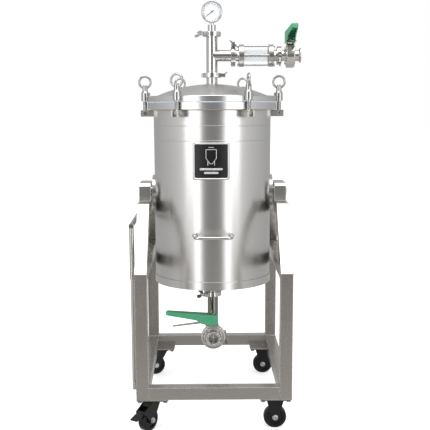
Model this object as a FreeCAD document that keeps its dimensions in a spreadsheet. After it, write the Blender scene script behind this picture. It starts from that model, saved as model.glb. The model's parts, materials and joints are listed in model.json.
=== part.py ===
import FreeCAD, Part
import math
import os
import Sketcher

# A stainless fermenting vessel that hangs on two trunnions in a wheeled tube frame.
# Millimetres, +Z up, +X to the right of the front, front towards -Y. Pieces are drawn about the
# vessel's axis; each finished sub-part is then moved back, so that the origin is on the ground
# under the middle of the whole outline.

Vector = FreeCAD.Vector
Rotation = FreeCAD.Rotation

SIZES = [
    ("axis_setback", 23.3, "vessel's axis behind the middle of the outline"),
    ("tube_size", 40.0, "outside of the square frame tube"),
    ("tube_wall", 2.5, "wall of the square frame tube"),
    ("frame_half_width", 253.0, "axis to the outside of a side frame"),
    ("frame_half_depth", 333.0, "axis to the outside of a leg"),
    ("rail_bottom", 110.0, "underside of the lower rails"),
    ("bend_height", 524.5, "outer corner where a leg meets its brace"),
    ("apex_height", 731.0, "top of the side frame"),
    ("apex_half_length", 157.0, "half of the flat top of a side frame"),
    ("side_rail_top", 544.5, "top of the upper side rail"),
    ("plate_length", 104.0, "caster mounting plate along X"),
    ("plate_width", 90.0, "caster mounting plate along Y"),
    ("plate_thickness", 4.0, "caster mounting plate"),
    ("caster_plate_length", 98.0, "top plate of a caster along X"),
    ("caster_plate_width", 84.0, "top plate of a caster along Y"),
    ("caster_plate_thickness", 3.0, "top plate of a caster"),
    ("bolt_spread_long", 84.0, "caster bolts along X"),
    ("bolt_spread_wide", 70.0, "caster bolts along Y"),
    ("bolt_radius", 4.0, "caster bolts and block screws"),
    ("bolt_head_radius", 7.0, "across the corners of a hexagon head, halved"),
    ("bolt_head_height", 5.0, "hexagon head"),
    ("wheel_radius", 37.5, "caster wheel"),
    ("wheel_width", 26.0, "caster wheel"),
    ("wheel_bevel", 4.0, "rounded shoulder of the tread"),
    ("wheel_recess", 4.0, "depth of the dished side of a wheel"),
    ("axle_radius", 4.0, "caster axle"),
    ("running_gap", 0.05, "radial clearance of a turning fit"),
    ("axle_nut_radius", 8.0, "across the corners of an axle nut, halved"),
    ("axle_nut_height", 6.0, "axle nut"),
    ("fork_half_gap", 15.0, "caster centre to the inside of a fork leg"),
    ("fork_sheet", 3.0, "sheet of a fork leg"),
    ("fork_eye", 12.0, "rounded end of a fork leg"),
    ("fork_half_top", 30.0, "half of the top of a fixed fork leg"),
    ("swivel_trail", 28.0, "kingpin to axle of a swivel caster"),
    ("swivel_race_height", 3.0, "ball race under a swivel caster's plate"),
    ("swivel_race_radius", 23.0, "ball race"),
    ("crown_radius", 24.0, "crown of a swivel fork"),
    ("crown_height", 9.0, "crown of a swivel fork"),
    ("slack", 0.4, "gap between faces that slide past each other"),
    ("kingpin_radius", 6.0, "kingpin of a swivel caster"),
    ("kingpin_head", 9.5, "radius of the kingpin's head"),
    ("kingpin_head_height", 5.0, "kingpin's head"),
    ("pedal_reach", 62.0, "kingpin to the brake pedal's pin"),
    ("pedal_height", 70.0, "height of the brake pedal's pin"),
    ("pedal_pin_radius", 2.5, "brake pedal's pin"),
    ("pedal_eye", 6.5, "outside of the pedal's barrel"),
    ("pedal_length", 40.0, "brake pedal from its pin"),
    ("pedal_half_width", 14.0, "brake pedal"),
    ("pedal_sheet", 4.0, "brake pedal"),
    ("pedal_drop", 14.0, "fall of the pedal from its pin to its tip"),
    ("block_half_length", 72.0, "bearing block along Y"),
    ("block_height", 60.0, "bearing block"),
    ("block_bevel", 9.0, "bevelled top edges of a bearing block"),
    ("block_screw_offset", 52.0, "bearing block screws from the shaft"),
    ("screw_head_radius", 6.5, "socket head of a block screw"),
    ("screw_head_height", 8.0, "socket head of a block screw"),
    ("screw_socket_radius", 3.5, "hexagon socket of a block screw"),
    ("screw_socket_depth", 4.0, "hexagon socket of a block screw"),
    ("shaft_radius", 19.0, "trunnion shaft"),
    ("bush_radius", 23.0, "outside of a bearing bush"),
    ("shaft_cap_radius", 20.5, "cap on the right shaft's end"),
    ("shaft_cap_height", 7.0, "cap on the right shaft's end"),
    ("pad_radius", 55.0, "trunnion pad on the vessel"),
    ("pad_face", 209.0, "axis to the outer face of a trunnion pad"),
    ("rod_offset", 266.0, "axis to the push handle's rods"),
    ("rod_half_spread", 246.0, "push handle rods along Y"),
    ("rod_radius", 6.0, "push handle rods"),
    ("rod_foot", 118.0, "lower end of a rod"),
    ("rod_top", 655.0, "upper end of a rod"),
    ("sleeve_radius", 8.0, "push handle tube"),
    ("sleeve_foot", 494.0, "lower end of the push handle"),
    ("grip_height", 670.0, "axis of the push handle's grip"),
    ("grip_half_length", 257.0, "push handle's grip"),
    ("clip_half_width", 9.0, "rod clip along Y"),
    ("clip_height", 20.0, "rod clip"),
    ("clip_tab", 4.0, "tab that joins the upper clip to its rail"),
    ("clip_tab_top", 530.0, "upper end of the tab"),
    ("vessel_radius", 202.5, "outside of the vessel"),
    ("vessel_wall", 2.0, "sheet of the vessel"),
    ("skirt_bottom", 443.5, "lower edge of the vessel"),
    ("band_height", 26.5, "band round the vessel's lower edge"),
    ("band_thickness", 2.0, "band round the vessel's lower edge"),
    ("cone_top", 480.0, "where the conical bottom meets the wall"),
    ("cone_drop", 35.0, "fall of the conical bottom"),
    ("outlet_plane", 390.0, "joint under the vessel"),
    ("flange_radius", 222.0, "vessel and lid flanges"),
    ("flange_bottom", 1040.0, "underside of the vessel's flange"),
    ("gasket_bottom", 1064.5, "top of the vessel's flange"),
    ("gasket_thickness", 3.0, "lid gasket"),
    ("gasket_inset", 1.0, "gasket edge inside the flange edge"),
    ("rim_top", 1087.0, "top of the lid's flange"),
    ("flange_round", 2.0, "bevelled edge of the flanges"),
    ("dome_base_radius", 194.0, "where the dome leaves the lid's flange"),
    ("dome_radius", 479.5, "sphere of the dome"),
    ("lid_sheet", 2.5, "sheet of the lid"),
    ("neck_plane", 1158.0, "joint on top of the lid"),
    ("bolt_circle", 231.5, "axis to the swing bolts"),
    ("bolt_shank", 7.0, "swing bolt"),
    ("eye_radius", 10.0, "eye of a swing bolt"),
    ("eye_half_width", 7.3, "eye of a swing bolt"),
    ("pivot_height", 1029.0, "swing bolt's pin"),
    ("pivot_pin_radius", 4.0, "swing bolt's pin"),
    ("pivot_head_radius", 6.5, "head of a swing bolt's pin"),
    ("pivot_head_height", 2.0, "head of a swing bolt's pin"),
    ("lug_thickness", 6.0, "lug beside a swing bolt"),
    ("lug_inner", 7.7, "bolt's centre to the inside of a lug"),
    ("lug_reach", 247.0, "axis to the outer edge of a lug"),
    ("lug_bottom", 1018.0, "underside of a lug"),
    ("rest_radius", 14.5, "slotted rest under an eye nut"),
    ("rest_sheet", 3.5, "slotted rest under an eye nut"),
    ("rest_slot", 7.5, "half of the slot in a rest"),
    ("rest_beyond", 3.5, "rest beyond the bolt's axis"),
    ("web_inner", 17.0, "bolt's axis to the web that stiffens a rest"),
    ("web_outer", 10.0, "bolt's axis to the outer end of a web"),
    ("web_half_width", 7.0, "web"),
    ("nut_gap", 0.3, "gap under an eye nut"),
    ("notch_gap", 0.6, "gap between an eye nut and its notch in the lid"),
    ("nut_sleeve_radius", 13.2, "sleeve of an eye nut"),
    ("sleeve_top", 1098.0, "sleeve of an eye nut"),
    ("collar_foot", 1104.5, "collar of an eye nut"),
    ("collar_radius", 9.2, "collar of an eye nut"),
    ("collar_top", 1121.0, "collar of an eye nut"),
    ("bolt_tip", 4.0, "swing bolt beyond its nut's collar"),
    ("ring_height", 1134.8, "centre of an eye nut's ring"),
    ("ring_radius", 19.6, "centre line of an eye nut's ring"),
    ("ring_wire", 3.8, "section of an eye nut's ring"),
    ("pipe_radius", 19.05, "outside of the sanitary tube"),
    ("pipe_bore", 17.4, "inside of the sanitary tube"),
    ("ferrule_radius", 25.25, "ferrule"),
    ("ferrule_rim", 2.85, "ferrule's rim"),
    ("ferrule_taper", 3.6, "taper behind a ferrule's rim"),
    ("half_seal", 0.8, "half of a pipe gasket"),
    ("clamp_radius", 31.0, "pipe clamp"),
    ("clamp_half_width", 7.25, "pipe clamp"),
    ("clamp_groove", 25.5, "groove of a pipe clamp"),
    ("clamp_groove_half", 3.95, "groove of a pipe clamp"),
    ("clamp_bore", 20.6, "bore of a pipe clamp"),
    ("clamp_split", 1.5, "half of the gap between clamp ears"),
    ("ear_reach", 46.0, "clamp's axis to the end of its ears"),
    ("ear_thickness", 7.0, "clamp ear"),
    ("ear_half_width", 6.0, "clamp ear"),
    ("clamp_screw_radius", 3.0, "clamp screw"),
    ("clamp_screw_offset", 38.5, "clamp's axis to its screw"),
    ("wing_hub_radius", 6.5, "wing nut"),
    ("wing_hub_height", 15.0, "wing nut"),
    ("wing_span", 16.5, "wing nut, axis to the tip"),
    ("wing_rise", 14.0, "wings above the nut"),
    ("wing_sheet", 1.7, "half of a wing's thickness"),
    ("wing_hub_tip", 4.5, "outer end of a wing nut's hub"),
    ("wing_start", 0.35, "share of the hub below the wings"),
    ("wing_corner", 5.0, "bevelled corners of a wing"),
    ("tee_plane", 1296.0, "upper joint of the tee"),
    ("branch_height", 1224.0, "axis of the side branch"),
    ("branch_plane", 73.0, "joint between tee and sight glass"),
    ("sight_plane", 230.5, "joint between sight glass and valve"),
    ("sight_flange_radius", 37.5, "end flange of the sight glass"),
    ("sight_flange_inner", 42.0, "middle of the sight glass to a flange"),
    ("sight_flange_outer", 60.0, "middle of the sight glass to the back of a flange"),
    ("glass_radius", 20.0, "sight tube"),
    ("glass_bore", 17.0, "sight tube"),
    ("glass_seat", 5.0, "depth of the sight tube in a flange"),
    ("tie_circle", 32.0, "tie rods"),
    ("tie_radius", 3.0, "tie rods"),
    ("tie_nut_radius", 5.5, "tie rod nuts"),
    ("tie_nut_height", 5.0, "tie rod nuts"),
    ("valve_half_length", 37.5, "valve between its joints, halved"),
    ("valve_body_radius", 41.5, "valve body"),
    ("valve_body_half", 12.25, "valve body"),
    ("valve_seat_radius", 20.5, "outside of a valve's rubber seat"),
    ("valve_seat_bore", 18.0, "bore of a valve's rubber seat"),
    ("valve_seat_half", 6.0, "valve's rubber seat"),
    ("disc_radius", 17.7, "valve disc"),
    ("disc_half", 1.5, "valve disc"),
    ("stem_radius", 4.0, "valve stem"),
    ("stem_foot", 26.0, "valve stem below the disc"),
    ("valve_bolt_circle", 33.5, "body bolts"),
    ("valve_bolt_radius", 3.0, "body bolts"),
    ("valve_nut_radius", 5.5, "body bolt heads"),
    ("valve_nut_height", 4.0, "body bolt heads"),
    ("index_half_length", 27.0, "index plate along the handle"),
    ("index_half_width", 19.0, "index plate across the handle"),
    ("index_thickness", 2.0, "index plate"),
    ("index_neck", 10.0, "radius of the index plate's foot"),
    ("handle_length", 166.0, "valve handle from the stem"),
    ("handle_back", 17.0, "valve handle behind the stem"),
    ("handle_base_top", 37.5, "top of the handle over the valve body"),
    ("handle_tip_top", 51.0, "top of the handle at its tip"),
    ("handle_tip_bottom", 37.5, "underside of the handle at its tip"),
    ("handle_half_width", 17.0, "valve handle at the stem"),
    ("handle_tip_half", 10.5, "valve handle at its tip"),
    ("handle_shell", 3.5, "walls of the hollow handle"),
    ("trigger_pin_reach", 34.0, "stem to the trigger's pin"),
    ("trigger_pin_height", 15.0, "trigger's pin over the valve body"),
    ("trigger_pin_radius", 2.0, "trigger's pin"),
    ("trigger_reach", 141.0, "stem to the trigger's tip"),
    ("trigger_half_width", 7.0, "trigger"),
    ("trigger_sheet", 2.5, "trigger"),
    ("valve_low_height", 259.0, "axis of the lower valve"),
    ("elbow_radius", 57.0, "bend of the outlet elbow"),
    ("elbow_plane", 70.0, "axis to the joint of elbow and valve"),
    ("front_handle_height", 629.0, "front handle"),
    ("front_handle_half", 60.0, "front handle"),
    ("front_handle_reach", 259.0, "axis to the front handle's bar"),
    ("front_handle_rod", 5.0, "front handle's rod"),
    ("front_handle_bend", 14.0, "front handle's bends"),
    ("name_plate_half_width", 60.5, "name plate"),
    ("name_plate_shift", -5.8, "vessel's middle to the name plate's"),
    ("name_plate_bottom", 813.5, "name plate"),
    ("name_plate_height", 121.5, "name plate"),
    ("name_plate_corner", 8.0, "name plate"),
    ("name_plate_sheet", 1.0, "name plate"),
    ("gauge_height", 1370.0, "centre of the gauge"),
    ("gauge_radius", 35.5, "gauge case"),
    ("gauge_bore", 33.0, "inside of the gauge case"),
    ("gauge_lip", 31.0, "window of the gauge's bezel"),
    ("gauge_front", 14.0, "axis to the front of the gauge"),
    ("gauge_back", 12.0, "axis to the back of the gauge"),
    ("gauge_sheet", 2.0, "back, bezel and window of the gauge"),
    ("dial_front", 4.0, "axis to the face of the dial"),
    ("dial_sheet", 1.5, "dial"),
    ("arbor_radius", 0.8, "needle's arbor"),
    ("needle_front", 6.0, "axis to the front of the needle"),
    ("needle_sheet", 0.8, "needle"),
    ("needle_hub", 3.2, "needle's hub"),
    ("needle_length", 25.0, "needle"),
    ("needle_tail", 9.0, "needle behind its hub"),
    ("adapter_radius", 13.6, "gauge adapter"),
    ("adapter_top", 1327.0, "gauge adapter"),
    ("socket_radius", 7.0, "gauge's threaded stem"),
    ("socket_top", 1338.0, "gauge's threaded stem, before it is fitted to the case"),
]

BOLT_COUNT = 6
CASTER_TURNS = {"front": 235.0, "rear": 200.0}      # heading of each swivel caster's trail
RING_TURNS = [80.0, 60.0, 115.0, 90.0, 70.0, 5.0]   # heading of each eye nut's ring axis
NEEDLE_ANGLE = 218.5                                # needle at zero, from +X as seen from the front
HEX = 6


class Dim:
    """A size known both as a number and as an expression on the Sizes sheet."""

    def __init__(self, text, value):
        self.text = text
        self.value = value

    def __add__(self, other):
        other = as_dim(other)
        return Dim(f"({self.text} + {other.text})", self.value + other.value)

    def __radd__(self, other):
        return as_dim(other) + self

    def __sub__(self, other):
        other = as_dim(other)
        return Dim(f"({self.text} - {other.text})", self.value - other.value)

    def __rsub__(self, other):
        return as_dim(other) - self

    def __mul__(self, other):
        other = as_dim(other)
        return Dim(f"({self.text} * {other.text})", self.value * other.value)

    def __rmul__(self, other):
        return as_dim(other) * self

    def __truediv__(self, other):
        other = as_dim(other)
        return Dim(f"({self.text} / {other.text})", self.value / other.value)

    def __neg__(self):
        return Dim(f"(0 - {self.text})", -self.value)


def as_dim(value):
    if isinstance(value, Dim):
        return value
    text = repr(float(value))
    return Dim(text if value >= 0 else f"(0 - {repr(-float(value))})", float(value))


def root(dim):
    return Dim(f"sqrt({dim.text})", math.sqrt(dim.value))


def half_turn_tangent(rise, run):
    """Tangent of half the angle whose tangent is rise over run."""
    text = f"tan(atan({rise.text} / {run.text}) / 2)"
    return Dim(text, math.tan(math.atan2(rise.value, run.value) / 2))


class Sizes:
    """The driving dimensions, as attributes named after their cells."""

    def __init__(self, document, table):
        sheet = document.addObject("Spreadsheet::Sheet", "Sizes")
        for row, (alias, value, meaning) in enumerate(table, start=1):
            sheet.set(f"A{row}", meaning)
            sheet.set(f"B{row}", str(value))
            sheet.setAlias(f"B{row}", alias)
            setattr(self, alias, Dim(f"Sizes.{alias}", value))


doc = FreeCAD.newDocument("ConicalFermenter")
size = Sizes(doc, SIZES)
doc.recompute()
nodes = []


class Frame:
    """A place to build in: an origin of three dims and a fixed rotation."""

    def __init__(self, x=0, y=0, z=0, rotation=Rotation()):
        self.origin = [as_dim(x), as_dim(y), as_dim(z)]
        self.rotation = rotation

    def point(self, x, y, z):
        columns = [self.rotation.multVec(Vector(*unit)) for unit in ((1, 0, 0), (0, 1, 0), (0, 0, 1))]
        result = []
        for row, start in enumerate(self.origin):
            total = start
            for column, step in zip(columns, (x, y, z)):
                factor = round(column[row], 9)
                if factor == 1:
                    total = total + step
                elif factor == -1:
                    total = total - step
                elif factor != 0:
                    total = total + as_dim(step) * factor
            result.append(total)
        return result


WORLD = Frame()
ALONG = {
    "x": Rotation(Vector(1, 1, 1), 120),
    "y": Rotation(Vector(1, 1, 1), 240),
    "z": Rotation(),
}


def bind(thing, name, dim):
    thing.setExpression(name, as_dim(dim).text)


def place(thing, frame, x, y, z, rotation=Rotation()):
    """Puts a thing at a local point of a frame, its place bound to the sheet."""
    thing.Placement = FreeCAD.Placement(Vector(), frame.rotation.multiply(rotation))
    for letter, dim in zip("xyz", frame.point(x, y, z)):
        bind(thing, f"Placement.Base.{letter}", dim)


def spread(axis, along, first, second):
    """Local coordinates from a place along an axis and the two across it, in cyclic order."""
    order = {"x": (along, first, second), "y": (second, along, first), "z": (first, second, along)}
    return order[axis]


def cylinder(name, frame, radius, start, end, axis="z", at=(0, 0)):
    thing = doc.addObject("Part::Cylinder", name)
    bind(thing, "Radius", radius)
    bind(thing, "Height", as_dim(end) - start)
    place(thing, frame, *spread(axis, start, *at), ALONG[axis])
    return thing


def cone(name, frame, radius, end_radius, start, end, axis="z"):
    thing = doc.addObject("Part::Cone", name)
    bind(thing, "Radius1", radius)
    bind(thing, "Radius2", end_radius)
    bind(thing, "Height", as_dim(end) - start)
    place(thing, frame, *spread(axis, start, 0, 0), ALONG[axis])
    return thing


def hexagon(name, frame, radius, start, end, axis="z", at=(0, 0)):
    thing = doc.addObject("Part::Prism", name)
    thing.Polygon = HEX
    bind(thing, "Circumradius", radius)
    bind(thing, "Height", as_dim(end) - start)
    place(thing, frame, *spread(axis, start, *at), ALONG[axis])
    return thing


def box(name, frame, low, high):
    thing = doc.addObject("Part::Box", name)
    for side, first, last in zip(("Length", "Width", "Height"), low, high):
        bind(thing, side, as_dim(last) - first)
    place(thing, frame, *low)
    return thing


def ring(name, frame, radius, wire, centre, axis="z", start=0, sweep=360):
    """A torus about an axis, or the part of one from a start angle over a sweep."""
    thing = doc.addObject("Part::Torus", name)
    bind(thing, "Radius1", radius)
    bind(thing, "Radius2", wire)
    thing.Angle3 = sweep
    place(thing, frame, *centre, ALONG[axis].multiply(Rotation(Vector(0, 0, 1), start)))
    return thing


def fuse(name, *pieces):
    thing = doc.addObject("Part::MultiFuse", name)
    thing.Shapes = list(pieces)
    return thing


def cut(name, base, *tools):
    thing = doc.addObject("Part::Cut", name)
    thing.Base = base
    thing.Tool = tools[0] if len(tools) == 1 else fuse(f"{name}_tools", *tools)
    return thing


def common(name, first, second):
    thing = doc.addObject("Part::Common", name)
    thing.Base = first
    thing.Tool = second
    return thing


def group(name, *pieces):
    thing = doc.addObject("Part::Compound", name)
    thing.Links = list(pieces)
    return thing


def publish(label, *pieces):
    """Names a finished sub-part, a group of one or more solids, and moves it to the origin's frame."""
    thing = group(f"{label}_group", *pieces)
    thing.Label = label
    bind(thing, "Placement.Base.y", size.axis_setback)
    nodes.append(thing)
    return thing


class Arc:
    """Joins two corners of an outline with an arc instead of a line."""

    def __init__(self, radius, clockwise=False):
        self.radius = as_dim(radius)
        self.clockwise = clockwise

    def curve(self, start, end):
        middle = (start + end) * 0.5
        chord = end - start
        side = Vector(-chord.y, chord.x, 0).normalize()
        rise = math.sqrt(max(self.radius.value ** 2 - (chord.Length / 2) ** 2, 0))
        centre = middle - side * rise if self.clockwise else middle + side * rise
        first, last = (end, start) if self.clockwise else (start, end)
        angles = [math.atan2(point.y - centre.y, point.x - centre.x) for point in (first, last)]
        circle = Part.Circle(centre, Vector(0, 0, 1), self.radius.value)
        return Part.ArcOfCircle(circle, angles[0], angles[1])


def hold(sketch, geometry, point, corner):
    """Ties one end of a line or arc to its corner, measured from the sketch's origin."""
    for kind, axis_line, dim in (("DistanceX", -2, corner[0]), ("DistanceY", -1, corner[1])):
        if dim.value == 0:
            sketch.addConstraint(Sketcher.Constraint("PointOnObject", geometry, point, axis_line))
        elif dim.value > 0:
            index = sketch.addConstraint(Sketcher.Constraint(kind, -1, 1, geometry, point, dim.value))
            sketch.setExpression(f"Constraints[{index}]", dim.text)
        else:
            index = sketch.addConstraint(Sketcher.Constraint(kind, geometry, point, -1, 1, -dim.value))
            sketch.setExpression(f"Constraints[{index}]", (-dim).text)


def draw(sketch, outline):
    """Draws a closed outline of (x, y) corners, with an Arc wherever one stands between two."""
    corners = []
    arcs = {}
    for item in outline:
        if isinstance(item, Arc):
            arcs[len(corners) - 1] = item
        else:
            corners.append([as_dim(item[0]), as_dim(item[1])])
    ends = []
    for index, corner in enumerate(corners):
        following = corners[(index + 1) % len(corners)]
        start = Vector(corner[0].value, corner[1].value, 0)
        end = Vector(following[0].value, following[1].value, 0)
        arc = arcs.get(index)
        curve = arc.curve(start, end) if arc else Part.LineSegment(start, end)
        geometry = sketch.addGeometry(curve)
        ends.append((geometry, 2, 1) if arc and arc.clockwise else (geometry, 1, 2))
    for index, corner in enumerate(corners):
        geometry, first, last = ends[index]
        hold(sketch, geometry, first, corner)
    for index in range(len(corners)):
        geometry, first, last = ends[index]
        next_geometry, next_first, next_last = ends[(index + 1) % len(ends)]
        sketch.addConstraint(Sketcher.Constraint("Coincident", geometry, last, next_geometry, next_first))
        if index in arcs:
            radius = Sketcher.Constraint("Radius", geometry, arcs[index].radius.value)
            sketch.setExpression(f"Constraints[{sketch.addConstraint(radius)}]", arcs[index].radius.text)


def sketched_body(name, plane, outline):
    """A PartDesign body with one sketch on one of its own origin planes."""
    body = doc.addObject("PartDesign::Body", name)
    sketch = body.newObject("Sketcher::SketchObject", f"{name}_sketch")
    support = [feature for feature in body.Origin.OriginFeatures if feature.Role == plane][0]
    sketch.AttachmentSupport = [(support, "")]
    sketch.MapMode = "FlatFace"
    draw(sketch, outline)
    return body, sketch


def turned(name, frame, outline, axis="z", at=0):
    """A turned piece: an outline of (radius, height) corners revolved about an axis."""
    body, sketch = sketched_body(name, "XZ_Plane", outline)
    turn = body.newObject("PartDesign::Revolution", f"{name}_turn")
    turn.Profile = sketch
    turn.ReferenceAxis = (sketch, ["V_Axis"])
    turn.Angle = 360
    body.Tip = turn
    place(body, frame, *spread(axis, at, 0, 0), ALONG[axis])
    return body


def padded(name, frame, outline, low, high, axis="z"):
    """A prism from low to high along an axis; the outline lies across it, in cyclic order."""
    body, sketch = sketched_body(name, "XY_Plane", outline)
    pad = body.newObject("PartDesign::Pad", f"{name}_pad")
    pad.Profile = sketch
    bind(pad, "Length", as_dim(high) - low)
    body.Tip = pad
    place(body, frame, *spread(axis, low, 0, 0), ALONG[axis])
    return body


def between(first, second, share):
    """The corner a share of the way from one corner to another."""
    return tuple(start + (end - start) * share for start, end in zip(first, second))


# ---------------------------------------------------------------- frame

def side_tube(name, side, outer_start, inner_start, inner_end, outer_end):
    """A mitred square tube in a side frame, from its four (y, z) corners."""
    low = side * (size.frame_half_width - size.tube_size / 2) - size.tube_size / 2
    high = low + size.tube_size
    outside = padded(f"{name}_outside", WORLD, [outer_start, inner_start, inner_end, outer_end], low, high, "x")
    share = size.tube_wall / size.tube_size
    hollow = [
        between(outer_start, inner_start, share),
        between(inner_start, outer_start, share),
        between(inner_end, outer_end, share),
        between(outer_end, inner_end, share),
    ]
    inside = padded(f"{name}_inside", WORLD, hollow, low + size.tube_wall, high - size.tube_wall, "x")
    return cut(name, outside, inside)


def straight_tube(name, low, high, along):
    """A square tube between two opposite corners, hollow along one axis."""
    outside = box(f"{name}_outside", WORLD, low, high)
    inner_low = [value if axis == along else value + size.tube_wall for axis, value in zip("xyz", low)]
    inner_high = [value if axis == along else value - size.tube_wall for axis, value in zip("xyz", high)]
    inside = box(f"{name}_inside", WORLD, inner_low, inner_high)
    return cut(name, outside, inside)


def side_frames():
    depth = size.frame_half_depth
    brace_run = size.frame_half_depth - size.apex_half_length
    brace_rise = size.apex_height - size.bend_height
    bend_step = size.tube_size * half_turn_tangent(brace_run, brace_rise)
    apex_step = size.tube_size * half_turn_tangent(brace_rise, brace_run)
    inner_bend = size.bend_height - bend_step
    inner_apex = size.apex_half_length - apex_step
    inner_depth = depth - size.tube_size
    under_apex = size.apex_height - size.tube_size
    legs = []
    braces = []
    tops = []
    for side, side_name in ((-1, "left"), (1, "right")):
        for end, end_name in ((-1, "front"), (1, "rear")):
            name = f"{end_name}_{side_name}"
            foot = ((depth * end, size.rail_bottom), (inner_depth * end, size.rail_bottom))
            bend = ((depth * end, size.bend_height), (inner_depth * end, inner_bend))
            apex = ((size.apex_half_length * end, size.apex_height), (inner_apex * end, under_apex))
            legs.append(side_tube(f"leg_{name}", side, foot[0], foot[1], bend[1], bend[0]))
            braces.append(side_tube(f"brace_{name}", side, bend[0], bend[1], apex[1], apex[0]))
        corners = [(size.apex_half_length * end, size.apex_height) for end in (-1, 1)]
        inner = [(inner_apex * end, under_apex) for end in (-1, 1)]
        tube = side_tube(f"top_{side_name}", side, corners[0], inner[0], inner[1], corners[1])
        centre = size.frame_half_width * side - size.tube_size / 2 * side
        holes = [
            cylinder(f"top_hole_{side_name}_{end}", WORLD, size.bolt_radius,
                     size.apex_height - size.tube_wall, size.apex_height,
                     at=(centre, size.block_screw_offset * end))
            for end in (-1, 1)
        ]
        tops.append(cut(f"top_drilled_{side_name}", tube, *holes))
    publish("legs", *legs)
    publish("slanted_braces", *braces)
    publish("apex_rails", *tops)


def upper_side_rail(side, low):
    """A rail between two bends: each end meets its leg below and slants along its brace above."""
    brace_run = size.frame_half_depth - size.apex_half_length
    brace_rise = size.apex_height - size.bend_height
    inner_depth = size.frame_half_depth - size.tube_size
    inner_bend = size.bend_height - size.tube_size * half_turn_tangent(brace_run, brace_rise)

    def outline(bottom, top):
        top_end = inner_depth - (top - inner_bend) * brace_run / brace_rise
        return [
            (-inner_depth, bottom), (inner_depth, bottom), (inner_depth, inner_bend),
            (top_end, top), (-top_end, top), (-inner_depth, inner_bend),
        ]

    top = size.side_rail_top
    bottom = top - size.tube_size
    wall = size.tube_wall
    high = low + size.tube_size
    outside = padded(f"upper_rail_outside_{side}", WORLD, outline(bottom, top), low, high, "x")
    inside = padded(f"upper_rail_inside_{side}", WORLD, outline(bottom + wall, top - wall),
                    low + wall, high - wall, "x")
    return cut(f"upper_side_rail_{side}", outside, inside)


def rails():
    inner_depth = size.frame_half_depth - size.tube_size
    inner_width = size.frame_half_width - size.tube_size
    sides = []
    for side in (-1, 1):
        low = -size.frame_half_width if side < 0 else inner_width
        sides.append(straight_tube(
            f"lower_side_rail_{side}", (low, -inner_depth, size.rail_bottom),
            (low + size.tube_size, inner_depth, size.rail_bottom + size.tube_size), "y"))
        sides.append(upper_side_rail(side, low))
    publish("side_rails", *sides)
    crossing = []
    for end, name in ((-1, "front"), (1, "rear")):
        low = -size.frame_half_depth if end < 0 else inner_depth
        crossing.append(straight_tube(
            f"{name}_cross_rail", (-inner_width, low, size.rail_bottom),
            (inner_width, low + size.tube_size, size.rail_bottom + size.tube_size), "x"))
    publish("cross_rails", *crossing)


def caster_centre(side, end):
    return ((size.frame_half_width - size.plate_length / 2) * side,
            (size.frame_half_depth - size.plate_width / 2) * end)


def corner_frame(side, end, heading=0.0):
    x, y = caster_centre(side, end)
    return Frame(x, y, 0, Rotation(Vector(0, 0, 1), heading))


def plate_with_holes(name, frame, length, width, bottom, top):
    sheet = box(f"{name}_sheet", frame, (-length / 2, -width / 2, bottom), (length / 2, width / 2, top))
    holes = [
        cylinder(f"{name}_hole_{x}_{y}", frame, size.bolt_radius, bottom, top,
                 at=(size.bolt_spread_long / 2 * x, size.bolt_spread_wide / 2 * y))
        for x in (-1, 1) for y in (-1, 1)
    ]
    return cut(name, sheet, *holes)


def corner_plates():
    plates = []
    for side in (-1, 1):
        for end in (-1, 1):
            frame = corner_frame(side, end)
            plates.append(plate_with_holes(
                f"corner_plate_{side}_{end}", frame, size.plate_length, size.plate_width,
                size.rail_bottom - size.plate_thickness, size.rail_bottom))
    publish("corner_plates", *plates)


def axle(name, frame, at_x):
    """An axle bolt with a hexagon on each end, across a fork whose wheel rolls along local X."""
    half = size.fork_half_gap + size.fork_sheet
    shank = cylinder(f"{name}_shank", frame, size.axle_radius, -half, half, "y", (size.wheel_radius, at_x))
    heads = [
        hexagon(f"{name}_head", frame, size.axle_nut_radius, half, half + size.axle_nut_height, "y",
                (size.wheel_radius, at_x)),
        hexagon(f"{name}_nut", frame, size.axle_nut_radius, -half - size.axle_nut_height, -half, "y",
                (size.wheel_radius, at_x)),
    ]
    return fuse(name, shank, *heads)


def fork_legs(name, frame, outline, at_x):
    """Two sheet legs drilled for the axle; the outline is in (z, x), the plane across local Y."""
    legs = []
    for side in (-1, 1):
        low = size.fork_half_gap if side > 0 else -size.fork_half_gap - size.fork_sheet
        sheet = padded(f"{name}_leg_{side}", frame, outline, low, low + size.fork_sheet, "y")
        hole = cylinder(f"{name}_hole_{side}", frame, size.axle_radius, low, low + size.fork_sheet, "y",
                        (size.wheel_radius, at_x))
        legs.append(cut(f"{name}_drilled_{side}", sheet, hole))
    return legs


def fixed_forks():
    pieces = []
    plate_top = size.rail_bottom - size.plate_thickness
    plate_bottom = plate_top - size.caster_plate_thickness
    outline = [
        (plate_bottom, -size.fork_half_top),
        (plate_bottom, size.fork_half_top),
        (size.wheel_radius, size.fork_eye),
        Arc(size.fork_eye),
        (size.wheel_radius - size.fork_eye, 0),
        Arc(size.fork_eye),
        (size.wheel_radius, -size.fork_eye),
    ]
    for end, name in ((-1, "front"), (1, "rear")):
        frame = corner_frame(1, end)
        plate = plate_with_holes(f"fixed_plate_{name}", frame, size.caster_plate_length,
                                 size.caster_plate_width, plate_bottom, plate_top)
        legs = fork_legs(f"fixed_fork_{name}", frame, outline, 0)
        pieces.append(fuse(f"fixed_fork_{name}", plate, *legs))
        pieces.append(axle(f"fixed_axle_{name}", frame, 0))
    publish("fixed_forks", *pieces)


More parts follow.
